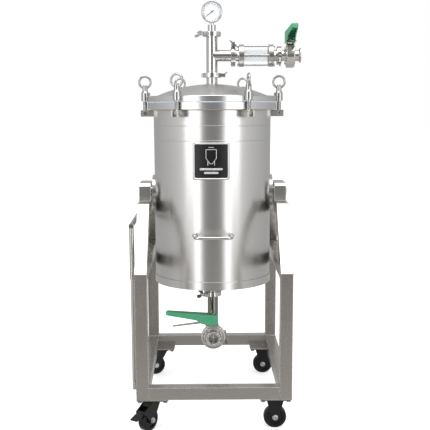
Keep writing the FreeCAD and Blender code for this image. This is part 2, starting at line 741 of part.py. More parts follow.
def swivel_plates():
    """Top plates of the swivel casters, each with its race and kingpin."""
    plates = []
    plate_top = size.rail_bottom - size.plate_thickness
    plate_bottom = plate_top - size.caster_plate_thickness
    race_bottom = plate_bottom - size.swivel_race_height
    crown_bottom = race_bottom - size.slack - size.crown_height
    head_top = crown_bottom - size.slack
    for end, name in ((-1, "front"), (1, "rear")):
        frame = corner_frame(-1, end)
        plate = plate_with_holes(f"swivel_plate_{name}", frame, size.caster_plate_length,
                                 size.caster_plate_width, plate_bottom, plate_top)
        race = cylinder(f"race_{name}", frame, size.swivel_race_radius, race_bottom, plate_bottom)
        pin = cylinder(f"kingpin_{name}", frame, size.kingpin_radius, head_top, race_bottom)
        head = hexagon(f"kingpin_head_{name}", frame, size.kingpin_head,
                       head_top - size.kingpin_head_height, head_top)
        plates.append(fuse(f"swivel_top_{name}", plate, race, pin, head))
    publish("swivel_plates", *plates)
    return race_bottom - size.slack, crown_bottom


def swivel_forks(crown_top, crown_bottom):
    reach = size.pedal_reach
    outline = [
        (crown_top, -size.crown_radius + size.fork_sheet),
        (crown_top, size.crown_radius),
        (size.pedal_height + size.pedal_eye, reach),
        Arc(size.pedal_eye),
        (size.pedal_height, reach + size.pedal_eye),
        Arc(size.pedal_eye),
        (size.pedal_height - size.pedal_eye, reach),
        (size.wheel_radius, size.swivel_trail + size.fork_eye),
        Arc(size.fork_eye),
        (size.wheel_radius - size.fork_eye, size.swivel_trail),
        Arc(size.fork_eye),
        (size.wheel_radius, size.swivel_trail - size.fork_eye),
    ]
    for end, name in ((-1, "front"), (1, "rear")):
        frame = corner_frame(-1, end, CASTER_TURNS[name])
        crown = cut(
            f"crown_{name}",
            cylinder(f"crown_disc_{name}", frame, size.crown_radius, crown_bottom, crown_top),
            cylinder(f"crown_bore_{name}", frame, size.kingpin_radius + size.running_gap,
                     crown_bottom, crown_top))
        legs = fork_legs(f"swivel_fork_{name}", frame, outline, size.swivel_trail)
        half = size.fork_half_gap + size.fork_sheet
        pin = cylinder(f"pedal_pin_{name}", frame, size.pedal_pin_radius, -half, half, "y",
                       (size.pedal_height, reach))
        fork = fuse(f"swivel_body_{name}", crown, *legs, pin)
        publish(f"swivel_fork_{name}", fork, axle(f"swivel_axle_{name}", frame, size.swivel_trail))
        pedal_outline = [
            (size.pedal_height - size.pedal_sheet / 2, reach),
            (size.pedal_height - size.pedal_drop - size.pedal_sheet / 2, reach + size.pedal_length),
            (size.pedal_height - size.pedal_drop + size.pedal_sheet / 2, reach + size.pedal_length),
            (size.pedal_height + size.pedal_sheet / 2, reach),
        ]
        tread = padded(f"pedal_tread_{name}", frame, pedal_outline,
                       -size.pedal_half_width, size.pedal_half_width, "y")
        barrel = cylinder(f"pedal_barrel_{name}", frame, size.pedal_eye - 1, -size.pedal_half_width,
                          size.pedal_half_width, "y", (size.pedal_height, reach))
        bore = cylinder(f"pedal_bore_{name}", frame, size.pedal_pin_radius + size.running_gap,
                        -size.pedal_half_width, size.pedal_half_width, "y", (size.pedal_height, reach))
        publish(f"brake_pedal_{name}", cut(f"pedal_{name}", fuse(f"pedal_solid_{name}", tread, barrel), bore))


def wheels():
    half = size.wheel_width / 2
    hub = size.axle_radius * 3
    web = size.wheel_radius * 0.7
    bore = size.axle_radius + size.running_gap
    outline = [
        (bore, -half),
        (hub, -half),
        (hub, size.wheel_recess - half),
        (web, size.wheel_recess - half),
        (web, -half),
        (size.wheel_radius - size.wheel_bevel, -half),
        Arc(size.wheel_bevel),
        (size.wheel_radius, size.wheel_bevel - half),
        (size.wheel_radius, half - size.wheel_bevel),
        Arc(size.wheel_bevel),
        (size.wheel_radius - size.wheel_bevel, half),
        (web, half),
        (web, half - size.wheel_recess),
        (hub, half - size.wheel_recess),
        (hub, half),
        (bore, half),
    ]
    for side, side_name in ((-1, "left"), (1, "right")):
        for end, end_name in ((-1, "front"), (1, "rear")):
            heading = CASTER_TURNS[end_name] if side < 0 else 0.0
            frame = corner_frame(side, end, heading)
            trail = size.swivel_trail if side < 0 else 0
            hub_frame = Frame(*frame.point(trail, 0, size.wheel_radius), frame.rotation)
            name = f"wheel_{end_name}_{side_name}"
            publish(name, turned(f"{name}_body", hub_frame, outline, "y"))


def bearings():
    """Bearing blocks on the side frames, their bushes and the frame's screws."""
    low = size.apex_height
    top = size.apex_height + size.block_height
    half = size.block_half_length
    outline = [
        (-half, low),
        (half, low),
        (half, top - size.block_bevel),
        (half - size.block_bevel, top),
        (size.block_bevel - half, top),
        (-half, top - size.block_bevel),
    ]
    shaft = (0, low + size.block_height / 2)
    blocks = []
    bushes = []
    screws = []
    for side in (-1, 1):
        outer = size.frame_half_width * side
        inner = outer - size.tube_size * side
        first, last = (outer, inner) if side < 0 else (inner, outer)
        block = padded(f"block_{side}", WORLD, outline, first, last, "x")
        tools = [cylinder(f"block_bore_{side}", WORLD, size.bush_radius, first, last, "x", shaft)]
        for end in (-1, 1):
            spot = ((first + last) / 2, size.block_screw_offset * end)
            head_low = top - size.screw_head_height
            tools.append(cylinder(f"screw_hole_{side}_{end}", WORLD, size.bolt_radius, low, top, at=spot))
            tools.append(cylinder(f"screw_seat_{side}_{end}", WORLD, size.screw_head_radius, head_low, top,
                                  at=spot))
            shank = cylinder(f"screw_shank_{side}_{end}", WORLD, size.bolt_radius,
                             low - size.tube_wall, head_low, at=spot)
            head = cylinder(f"screw_head_{side}_{end}", WORLD, size.screw_head_radius, head_low, top, at=spot)
            socket = hexagon(f"screw_socket_{side}_{end}", WORLD, size.screw_socket_radius,
                             top - size.screw_socket_depth, top, at=spot)
            screws.append(cut(f"block_screw_{side}_{end}", fuse(f"screw_{side}_{end}", shank, head), socket))
        blocks.append(cut(f"bearing_block_{side}", block, *tools))
        bushes.append(cut(
            f"bush_{side}",
            cylinder(f"bush_outside_{side}", WORLD, size.bush_radius, first, last, "x", shaft),
            cylinder(f"bush_inside_{side}", WORLD, size.shaft_radius + size.running_gap, first, last, "x",
                     shaft)))
    publish("bearing_blocks", *blocks)
    publish("bearing_bushes", *bushes)
    plate_top = size.rail_bottom
    head_top = plate_top - size.plate_thickness - size.caster_plate_thickness
    for side in (-1, 1):
        for end in (-1, 1):
            frame = corner_frame(side, end)
            for x in (-1, 1):
                for y in (-1, 1):
                    spot = (size.bolt_spread_long / 2 * x, size.bolt_spread_wide / 2 * y)
                    name = f"caster_bolt_{side}_{end}_{x}_{y}"
                    shank = cylinder(f"{name}_shank", frame, size.bolt_radius, head_top, plate_top, at=spot)
                    head = hexagon(f"{name}_head", frame, size.bolt_head_radius,
                                   head_top - size.bolt_head_height, head_top, at=spot)
                    screws.append(fuse(name, shank, head))
    publish("frame_screws", *screws)


def push_handle():
    """Two rods clipped to the left side frame, and the handle that slides up on them."""
    pieces = []
    sleeves = []
    bores = []
    outer = -size.frame_half_width
    lower_clip = size.rail_bottom + (size.tube_size - size.clip_height) / 2
    upper_clip = size.sleeve_foot - size.slack - size.clip_height
    for end in (-1, 1):
        spot = (-size.rod_offset, size.rod_half_spread * end)
        rod = cylinder(f"rod_{end}", WORLD, size.rod_radius, size.rod_foot, size.rod_top, at=spot)
        pieces.append(rod)
        for name, bottom in (("lower", lower_clip), ("upper", upper_clip)):
            clip = box(f"{name}_clip_{end}", WORLD,
                       (-size.rod_offset, spot[1] - size.clip_half_width, bottom),
                       (outer, spot[1] + size.clip_half_width, bottom + size.clip_height))
            hole = cylinder(f"{name}_clip_hole_{end}", WORLD, size.rod_radius, bottom,
                            bottom + size.clip_height, at=spot)
            if name == "upper":
                tab = box(f"clip_tab_{end}", WORLD,
                          (outer - size.clip_tab, spot[1] - size.clip_half_width, bottom),
                          (outer, spot[1] + size.clip_half_width, size.clip_tab_top))
                clip = fuse(f"clip_with_tab_{end}", clip, tab)
            pieces.append(cut(f"{name}_rod_clip_{end}", clip, hole))
        sleeves.append(cylinder(f"sleeve_{end}", WORLD, size.sleeve_radius, size.sleeve_foot,
                                size.grip_height, at=spot))
        bores.append(cylinder(f"sleeve_bore_{end}", WORLD, size.rod_radius + size.running_gap,
                              size.sleeve_foot, size.rod_top + size.slack, at=spot))
    publish("handle_rods", *pieces)
    grip = cylinder("grip", WORLD, size.sleeve_radius, -size.grip_half_length, size.grip_half_length, "y",
                    (size.grip_height, -size.rod_offset))
    publish("push_handle", cut("push_handle_body", fuse("push_handle_solid", grip, *sleeves), *bores))


# ---------------------------------------------------------------- vessel

def vessel():
    wall = size.vessel_radius - size.vessel_wall
    outlet_face = size.outlet_plane + size.half_seal
    cone_foot = size.cone_top - size.cone_drop
    shell = [
        (size.vessel_radius, size.skirt_bottom),
        (size.vessel_radius, size.gasket_bottom),
        (wall, size.gasket_bottom),
        (wall, size.cone_top + size.vessel_wall),
        (size.pipe_bore, cone_foot + size.vessel_wall),
        (size.pipe_bore, outlet_face),
        (size.ferrule_radius, outlet_face),
        (size.ferrule_radius, outlet_face + size.ferrule_rim),
        (size.pipe_radius, outlet_face + size.ferrule_rim + size.ferrule_taper),
        (size.pipe_radius, cone_foot),
        (wall, size.cone_top),
        (wall, size.skirt_bottom),
    ]
    publish("vessel_shell", turned("vessel_shell_body", WORLD, shell))
    round_edge = size.flange_round
    flange = [
        (size.vessel_radius, size.flange_bottom),
        (size.flange_radius - round_edge, size.flange_bottom),
        (size.flange_radius, size.flange_bottom + round_edge),
        (size.flange_radius, size.gasket_bottom),
        (size.vessel_radius, size.gasket_bottom),
    ]
    publish("vessel_flange", turned("vessel_flange_body", WORLD, flange))
    band_top = size.skirt_bottom + size.band_height
    band_radius = size.vessel_radius + size.band_thickness
    band = [
        (size.vessel_radius, size.skirt_bottom),
        (band_radius, size.skirt_bottom),
        (band_radius, band_top),
        (size.vessel_radius, band_top),
    ]
    publish("bottom_band", turned("bottom_band_body", WORLD, band))
    gasket_top = size.gasket_bottom + size.gasket_thickness
    gasket_edge = size.flange_radius - size.gasket_inset
    gasket = [
        (wall, size.gasket_bottom),
        (gasket_edge, size.gasket_bottom),
        (gasket_edge, gasket_top),
        (wall, gasket_top),
    ]
    publish("lid_gasket", turned("lid_gasket_body", WORLD, gasket))


def dome_height(radius, sheet):
    """Height of the dome's skin at a radius, for its outer skin or the one a sheet inside it."""
    sphere = size.dome_radius - sheet
    drop = root(size.dome_radius * size.dome_radius - size.dome_base_radius * size.dome_base_radius)
    return size.rim_top - drop + root(sphere * sphere - radius * radius)


def lid():
    wall = size.vessel_radius - size.vessel_wall
    bottom = size.gasket_bottom + size.gasket_thickness
    face = size.neck_plane - size.half_seal
    inner_radius = size.dome_base_radius - size.lid_sheet
    inner_height = dome_height(inner_radius, size.lid_sheet)
    round_edge = size.flange_round
    outline = [
        (wall, bottom),
        (size.flange_radius, bottom),
        (size.flange_radius, size.rim_top - round_edge),
        (size.flange_radius - round_edge, size.rim_top),
        (size.dome_base_radius, size.rim_top),
        Arc(size.dome_radius),
        (size.pipe_radius, dome_height(size.pipe_radius, as_dim(0))),
        (size.pipe_radius, face - size.ferrule_rim - size.ferrule_taper),
        (size.ferrule_radius, face - size.ferrule_rim),
        (size.ferrule_radius, face),
        (size.pipe_bore, face),
        (size.pipe_bore, dome_height(size.pipe_bore, size.lid_sheet)),
        Arc(size.dome_radius - size.lid_sheet, clockwise=True),
        (inner_radius, inner_height),
        (wall, inner_height),
    ]
    pieces = [turned("lid_cover", WORLD, outline)]
    slots = []
    rest_top = bottom + size.rest_sheet
    rest = size.rest_radius
    for index, frame in enumerate(bolt_frames()):
        pieces.append(cylinder(f"rest_{index}", frame, rest, bottom, rest_top))
        pieces.append(box(f"web_{index}", frame, (-size.web_inner, -size.web_half_width, rest_top),
                          (-size.web_outer, size.web_half_width, size.sleeve_top)))
        slots.append(cylinder(f"notch_{index}", frame, size.nut_sleeve_radius + size.notch_gap, rest_top,
                              size.sleeve_top))
        slots.append(cylinder(f"rest_seat_{index}", frame, size.rest_slot, bottom, rest_top))
        slots.append(box(f"rest_slot_{index}", frame, (0, -size.rest_slot, bottom),
                         (rest, size.rest_slot, rest_top)))
        slots.append(box(f"rest_trim_{index}", frame, (size.rest_beyond, -rest, bottom),
                         (rest, rest, rest_top)))
    publish("lid", cut("lid_body", fuse("lid_solid", *pieces), *slots))


def bolt_frames():
    """One frame for each swing bolt: its origin on the bolt's axis and its X outwards."""
    frames = []
    for index in range(BOLT_COUNT):
        heading = 360.0 / BOLT_COUNT * index
        turn = Rotation(Vector(0, 0, 1), heading)
        centre = Frame(0, 0, 0, turn).point(size.bolt_circle, 0, 0)
        frames.append(Frame(*centre, turn))
    return frames


def swing_bolts():
    lugs = []
    pins = []
    lug_end = size.lug_reach - size.bolt_circle
    pivot = (size.pivot_height, 0)
    for index, frame in enumerate(bolt_frames()):
        lug_outer = size.lug_inner + size.lug_thickness
        for side in (-1, 1):
            low = size.lug_inner if side > 0 else -lug_outer
            plate = box(f"lug_{index}_{side}", frame,
                        (size.vessel_radius - size.bolt_circle - size.vessel_wall, low, size.lug_bottom),
                        (lug_end, low + size.lug_thickness, size.flange_bottom))
            hole = cylinder(f"lug_hole_{index}_{side}", frame, size.pivot_pin_radius, low,
                            low + size.lug_thickness, "y", pivot)
            lugs.append(cut(f"lug_plate_{index}_{side}", plate, hole))
        pins.append(fuse(
            f"pivot_pin_{index}",
            cylinder(f"pin_{index}", frame, size.pivot_pin_radius, -lug_outer, lug_outer, "y", pivot),
            cylinder(f"pin_head_{index}", frame, size.pivot_head_radius, lug_outer,
                     lug_outer + size.pivot_head_height, "y", pivot)))
        swing_bolt(index, frame, pivot)
    trimmed = []
    for index, plate in enumerate(lugs):
        body = cylinder(f"lug_trim_{index}", WORLD, size.vessel_radius, size.lug_bottom, size.flange_bottom)
        trimmed.append(cut(f"lug_fitted_{index}", plate, body))
    publish("bolt_lugs", *trimmed)
    publish("bolt_pins", *pins)


def swing_bolt(index, frame, pivot):
    """A bolt with its eye on the pin, and the eye nut that clamps the lid."""
    half = size.eye_half_width
    foot = size.gasket_bottom + size.gasket_thickness + size.rest_sheet + size.nut_gap
    tip = size.collar_top + size.bolt_tip
    eye = cylinder(f"eye_{index}", frame, size.eye_radius, -half, half, "y", pivot)
    shank = cylinder(f"shank_{index}", frame, size.bolt_shank, size.pivot_height, tip)
    bore = cylinder(f"eye_bore_{index}", frame, size.pivot_pin_radius + size.running_gap, -half, half, "y",
                    pivot)
    bolt = cut(f"bolt_{index}", fuse(f"bolt_solid_{index}", eye, shank), bore)
    ring_frame = Frame(*frame.origin, Rotation(Vector(0, 0, 1), RING_TURNS[index]))
    sleeve = cylinder(f"sleeve_{index}", frame, size.nut_sleeve_radius, foot, size.sleeve_top)
    taper = cone(f"sleeve_taper_{index}", frame, size.nut_sleeve_radius, size.collar_radius, size.sleeve_top,
                 size.collar_foot)
    collar = cylinder(f"collar_{index}", frame, size.collar_radius, size.collar_foot, size.collar_top)
    loop = ring(f"loop_{index}", ring_frame, size.ring_radius, size.ring_wire, (0, 0, size.ring_height), "x")
    thread = cylinder(f"thread_{index}", frame, size.bolt_shank, foot, tip)
    nut = cut(f"nut_{index}", fuse(f"nut_solid_{index}", sleeve, taper, collar, loop), thread)
    publish(f"swing_bolt_{index + 1}", bolt, nut)


def trunnions():
    pieces = []
    height = size.apex_height + size.block_height / 2
    for side, name in ((-1, "left"), (1, "right")):
        frame = Frame(0, 0, height, Rotation(Vector(0, 0, 1), 0 if side > 0 else 180))
        start = size.vessel_radius - size.name_plate_half_width
        pad = cylinder(f"pad_{name}", frame, size.pad_radius, start, size.pad_face, "x")
        shaft = cylinder(f"shaft_{name}", frame, size.shaft_radius, start, size.frame_half_width, "x")
        solids = [pad, shaft]
        if side > 0:
            solids.append(cylinder(f"shaft_cap_{name}", frame, size.shaft_cap_radius, size.frame_half_width,
                                   size.frame_half_width + size.shaft_cap_height, "x"))
        body = cylinder(f"pad_trim_{name}", WORLD, size.vessel_radius, height - size.pad_radius * 2,
                        height + size.pad_radius * 2)
        pieces.append(cut(f"trunnion_{name}", fuse(f"trunnion_solid_{name}", *solids), body))
    publish("trunnions", *pieces)


def front_handle():
    height = size.front_handle_height
    rod = size.front_handle_rod
    bend = size.front_handle_bend
    half = size.front_handle_half
    reach = -size.front_handle_reach
    pieces = [cylinder("front_bar", WORLD, rod, bend - half, half - bend, "x", (reach, height))]
    for side in (-1, 1):
        pieces.append(cylinder(f"front_leg_{side}", WORLD, rod, reach + bend, -size.vessel_radius * 0.9, "y",
                               (height, half * side)))
        start = 270 if side > 0 else 180
        pieces.append(ring(f"front_bend_{side}", WORLD, bend, rod, ((half - bend) * side, reach + bend, height),
                           "z", start, 90))
    body = cylinder("front_trim", WORLD, size.vessel_radius, height - rod * 2, height + rod * 2)
    publish("front_handle", cut("front_handle_body", fuse("front_handle_solid", *pieces), body))


def name_plate():
    corner = size.name_plate_corner
    left = size.name_plate_shift - size.name_plate_half_width
    right = size.name_plate_shift + size.name_plate_half_width
    low = size.name_plate_bottom
    top = low + size.name_plate_height
    outline = [
        (low, left + corner), (low, right - corner), Arc(corner, clockwise=True), (low + corner, right),
        (top - corner, right), Arc(corner, clockwise=True), (top, right - corner),
        (top, left + corner), Arc(corner, clockwise=True), (top - corner, left),
        (low + corner, left), Arc(corner, clockwise=True),
    ]
    block = padded("name_plate_block", WORLD, outline, -size.vessel_radius - size.name_plate_sheet,
                   -size.vessel_radius * 0.9, "y")
    sheet = cut(
        "name_plate_ring",
        cylinder("name_plate_outside", WORLD, size.vessel_radius + size.name_plate_sheet, low, top),
        cylinder("name_plate_inside", WORLD, size.vessel_radius, low, top))
    publish("name_plate", common("name_plate_body", sheet, block))


# ---------------------------------------------------------------- pipework

def rotation_from(ears, pipe):
    """The rotation that takes local X to the ears' direction and local Z to the pipe's."""
    return Rotation(Vector(*ears), Vector(*pipe).cross(Vector(*ears)), Vector(*pipe), "ZXY")


def pipe_joints():
    """Each pipe joint's frame (local X through the clamp's ears, local Z along the pipe) and its wings' turn."""
    aside = (-0.64, -0.768375, 0)
    return {
        "neck": (Frame(0, 0, size.neck_plane, rotation_from((1, 0, 0), (0, 0, 1))), 35),
        "gauge": (Frame(0, 0, size.tee_plane, rotation_from(aside, (0, 0, 1))), -40),
        "branch": (Frame(size.branch_plane, 0, size.branch_height, rotation_from((0, 0, 1), (-1, 0, 0))), 50),
        "sight": (Frame(size.sight_plane, 0, size.branch_height, rotation_from((0, -1, 0), (-1, 0, 0))), 10),
        "outlet": (Frame(0, 0, size.outlet_plane, rotation_from(aside, (0, 0, 1))), -60),
        "elbow": (Frame(0, -size.elbow_plane, size.valve_low_height,
                        rotation_from((1, 0, 0), (0, -1, 0))), 25),
    }


def clamps():
    """Two-part clamps with their screws, wing nuts and pipe gaskets, one set at each joint."""
    outline = [
        (size.clamp_radius, -size.clamp_half_width),
        (size.clamp_radius, size.clamp_half_width),
        (size.clamp_bore, size.clamp_half_width),
        (size.clamp_groove, size.clamp_groove_half),
        (size.clamp_groove, -size.clamp_groove_half),
        (size.clamp_bore, -size.clamp_half_width),
    ]
    shells = []
    screws = []
    seals = []
    ear_outer = size.clamp_split + size.ear_thickness
    for name, (frame, wing_turn) in pipe_joints().items():
        ring_body = turned(f"{name}_clamp_ring", frame, outline)
        ears = box(f"{name}_clamp_ears", frame, (size.clamp_radius - size.ear_half_width / 2, -ear_outer,
                                                 -size.ear_half_width),
                   (size.ear_reach, ear_outer, size.ear_half_width))
        hinge = cylinder(f"{name}_clamp_hinge", frame, size.ear_half_width * 0.75, -size.clamp_half_width,
                         size.clamp_half_width, at=(-size.clamp_radius - 1, 0))
        gap = box(f"{name}_clamp_gap", frame, (0, -size.clamp_split, -size.clamp_half_width),
                  (size.ear_reach, size.clamp_split, size.clamp_half_width))
        screw_hole = cylinder(f"{name}_clamp_hole", frame, size.clamp_screw_radius, -ear_outer, ear_outer,
                              "y", (0, size.clamp_screw_offset))
        shells.append(cut(f"{name}_clamp", fuse(f"{name}_clamp_solid", ring_body, ears, hinge), gap,
                          screw_hole))
        screws.append(clamp_screw(name, frame, ear_outer, wing_turn))
        seal = [
            (size.pipe_bore, -size.half_seal),
            (size.ferrule_radius, -size.half_seal),
            (size.ferrule_radius, size.half_seal),
            (size.pipe_bore, size.half_seal),
        ]
        seals.append(turned(f"{name}_seal", frame, seal))
    publish("pipe_clamps", *shells)
    publish("clamp_wing_nuts", *screws)
    publish("pipe_gaskets", *seals)


def clamp_screw(name, frame, ear_outer, wing_turn):
    """A clamp screw along local Y, headed at one end, with its wing nut at the other."""
    spot = (0, size.clamp_screw_offset)
    hub_end = ear_outer + size.wing_hub_height
    wing_end = hub_end + size.wing_rise
    wing_foot = ear_outer + size.wing_hub_height * size.wing_start
    head_end = ear_outer + size.clamp_screw_radius
    shank = cylinder(f"{name}_screw", frame, size.clamp_screw_radius, -hub_end, head_end, "y", spot)
    head = cylinder(f"{name}_screw_head", frame, size.wing_hub_radius, ear_outer, head_end, "y", spot)
    centre = frame.point(size.clamp_screw_offset, 0, 0)
    hub = cone(f"{name}_wing_hub", Frame(*centre, frame.rotation),
               size.wing_hub_tip, size.wing_hub_radius, -hub_end, -ear_outer, "y")
    turn = Rotation(Vector(0, 0, 1), wing_turn)
    wing_frame = Frame(*centre, frame.rotation.multiply(Rotation(Vector(1, 0, 0), 90)).multiply(turn))
    wings = []
    for side in (-1, 1):
        outline = [
            (0, wing_foot),
            (size.wing_hub_tip * side, wing_foot),
            (size.wing_span * side, hub_end),
            (size.wing_span * side, wing_end - size.wing_corner),
            ((size.wing_span - size.wing_corner) * side, wing_end),
            ((size.wing_span - size.wing_corner * 2) * side, wing_end),
            (0, hub_end - size.wing_corner),
        ]
        wings.append(padded(f"{name}_wing_{side}", wing_frame, [(z, x) for x, z in outline],
                            -size.wing_sheet, size.wing_sheet, "y"))
    return fuse(f"{name}_wing_nut", shank, head, hub, *wings)


def ferrule(name, frame, plane, side, axis="z"):
    """A ferrule whose face is at a plane; its pipe goes away to one side along the axis."""
    rim_end = plane + size.ferrule_rim * side
    taper_end = rim_end + size.ferrule_taper * side
    if side > 0:
        rim = cylinder(f"{name}_rim", frame, size.ferrule_radius, plane, rim_end, axis)
        taper = cone(f"{name}_taper", frame, size.ferrule_radius, size.pipe_radius, rim_end, taper_end, axis)
    else:
        rim = cylinder(f"{name}_rim", frame, size.ferrule_radius, rim_end, plane, axis)
        taper = cone(f"{name}_taper", frame, size.pipe_radius, size.ferrule_radius, taper_end, rim_end, axis)
    return [rim, taper]


def tee():
    low = size.neck_plane + size.half_seal
    top = size.tee_plane - size.half_seal
    end = size.branch_plane - size.half_seal
    branch = Frame(0, 0, size.branch_height)
    solids = [
        cylinder("tee_run", WORLD, size.pipe_radius, low, top),
        cylinder("tee_branch", branch, size.pipe_radius, 0, end, "x"),
        *ferrule("tee_low", WORLD, low, 1),
        *ferrule("tee_top", WORLD, top, -1),
        *ferrule("tee_side", branch, end, -1, "x"),
    ]
    bores = [
        cylinder("tee_run_bore", WORLD, size.pipe_bore, low, top),
        cylinder("tee_branch_bore", branch, size.pipe_bore, 0, end, "x"),
    ]
    publish("tee", cut("tee_body", fuse("tee_solid", *solids), *bores))


def sight_glass():
    middle = Frame((size.branch_plane + size.sight_plane) / 2, 0, size.branch_height)
    half_length = (size.sight_plane - size.branch_plane) / 2 - size.half_seal
    glass_half = size.sight_flange_inner + size.glass_seat
    flange = [
        (size.glass_radius, size.sight_flange_inner),
        (size.sight_flange_radius - 1, size.sight_flange_inner),
        (size.sight_flange_radius, size.sight_flange_inner + 1),
        (size.sight_flange_radius, size.sight_flange_outer - 1),
        (size.sight_flange_radius - 1, size.sight_flange_outer),
        (size.pipe_radius, size.sight_flange_outer),
        (size.pipe_radius, half_length - size.ferrule_rim - size.ferrule_taper),
        (size.ferrule_radius, half_length - size.ferrule_rim),
        (size.ferrule_radius, half_length),
        (size.pipe_bore, half_length),
        (size.pipe_bore, glass_half),
        (size.glass_radius, glass_half),
    ]
    flanges = []
    rods = []
    turns = [90.0 * index for index in range(4)]
    for side, name in ((-1, "tank"), (1, "valve")):
        frame = Frame(*middle.origin, rotation_from((0, 0, 1), (side, 0, 0)))
        holes = []
        for turn in turns:
            spot = (size.tie_circle * round(math.cos(math.radians(turn)), 9),
                    size.tie_circle * round(math.sin(math.radians(turn)), 9))
            holes.append(cylinder(f"{name}_tie_hole_{turn:.0f}", frame, size.tie_radius,
                                  size.sight_flange_inner, size.sight_flange_outer, at=spot))
        flanges.append(cut(f"sight_flange_{name}", turned(f"sight_flange_{name}_disc", frame, flange), *holes))
    publish("sight_flanges", *flanges)
    outer = size.sight_flange_outer
    for turn in turns:
        spot = (size.tie_circle * round(math.cos(math.radians(turn)), 9),
                size.tie_circle * round(math.sin(math.radians(turn)), 9))
        name = f"tie_{turn:.0f}"
        rods.append(fuse(
            name,
            cylinder(f"{name}_rod", middle, size.tie_radius, -outer, outer, "x", spot),
            hexagon(f"{name}_nut", middle, size.tie_nut_radius, outer, outer + size.tie_nut_height, "x", spot),
            hexagon(f"{name}_head", middle, size.tie_nut_radius, -outer - size.tie_nut_height, -outer, "x",
                    spot)))
    publish("sight_tie_rods", *rods)
    publish("sight_tube", cut(
        "sight_tube_body",
        cylinder("sight_tube_outside", middle, size.glass_radius, -glass_half, glass_half, "x"),
        cylinder("sight_tube_inside", middle, size.glass_bore, -glass_half, glass_half, "x")))


def valve(prefix, frame):
    """A butterfly valve: local X along the closed handle, local Y along the flow, stem along Z."""
    face = size.valve_half_length - size.half_seal
    half = size.valve_body_half
    seat = size.valve_seat_half
    body_outline = [
        (size.pipe_bore, -face), (size.ferrule_radius, -face),
        (size.ferrule_radius, size.ferrule_rim - face),
        (size.pipe_radius, size.ferrule_rim + size.ferrule_taper - face),
        (size.pipe_radius, -half), (size.valve_body_radius, -half),
        (size.valve_body_radius, half), (size.pipe_radius, half),
        (size.pipe_radius, face - size.ferrule_rim - size.ferrule_taper),
        (size.ferrule_radius, face - size.ferrule_rim),
        (size.ferrule_radius, face), (size.pipe_bore, face),
        (size.pipe_bore, seat), (size.valve_seat_radius, seat),
        (size.valve_seat_radius, -seat), (size.pipe_bore, -seat),
    ]
    top = size.valve_body_radius
    index_top = top + size.index_thickness
    shell = turned(f"{prefix}_shell", frame, body_outline, "y")
    neck = cylinder(f"{prefix}_neck", frame, size.index_neck, size.valve_seat_radius * 1.2, top)
    index = box(f"{prefix}_index", frame, (-size.index_half_width, -size.index_half_width, top),
                (size.index_half_length, size.index_half_width, index_top))
    stem_hole = cylinder(f"{prefix}_stem_hole", frame, size.stem_radius + size.running_gap, -size.stem_foot,
                         index_top)
    bolts = []
    holes = []
    for turn in (45.0, 135.0, 225.0, 315.0):
        spot = (size.valve_bolt_circle * round(math.sin(math.radians(turn)), 9),
                size.valve_bolt_circle * round(math.cos(math.radians(turn)), 9))
        name = f"{prefix}_bolt_{turn:.0f}"
        holes.append(cylinder(f"{name}_hole", frame, size.valve_bolt_radius, -half, half, "y", spot))
        bolts.append(fuse(
            name,
            cylinder(f"{name}_shank", frame, size.valve_bolt_radius, -half, half, "y", spot),
            hexagon(f"{name}_head", frame, size.valve_nut_radius, half, half + size.valve_nut_height, "y",
                    spot),
            hexagon(f"{name}_nut", frame, size.valve_nut_radius, -half - size.valve_nut_height, -half, "y",
                    spot)))
    casing = cut(f"{prefix}_casing", fuse(f"{prefix}_casing_solid", shell, neck, index), stem_hole, *holes)
    rubber = turned(f"{prefix}_rubber", frame, [
        (size.valve_seat_bore, -seat), (size.valve_seat_radius, -seat),
        (size.valve_seat_radius, seat), (size.valve_seat_bore, seat),
    ], "y")
    seal = cut(f"{prefix}_seal", rubber, cylinder(f"{prefix}_seal_hole", frame,
                                                  size.stem_radius + size.running_gap,
                                                  -size.stem_foot, index_top))
    publish(f"{prefix}_body", casing, seal, *bolts)
    cap_low = top + size.handle_base_top + 1.5
    publish(f"{prefix}_disc", fuse(
        f"{prefix}_disc_solid",
        cylinder(f"{prefix}_plate", frame, size.disc_radius, -size.disc_half, size.disc_half, "y"),
        cylinder(f"{prefix}_stem", frame, size.stem_radius, -size.stem_foot + 1, cap_low),
        cylinder(f"{prefix}_cap", frame, size.stem_radius * 1.6, cap_low, cap_low + 3)))
    valve_handle(prefix, frame, index_top + size.slack, top)


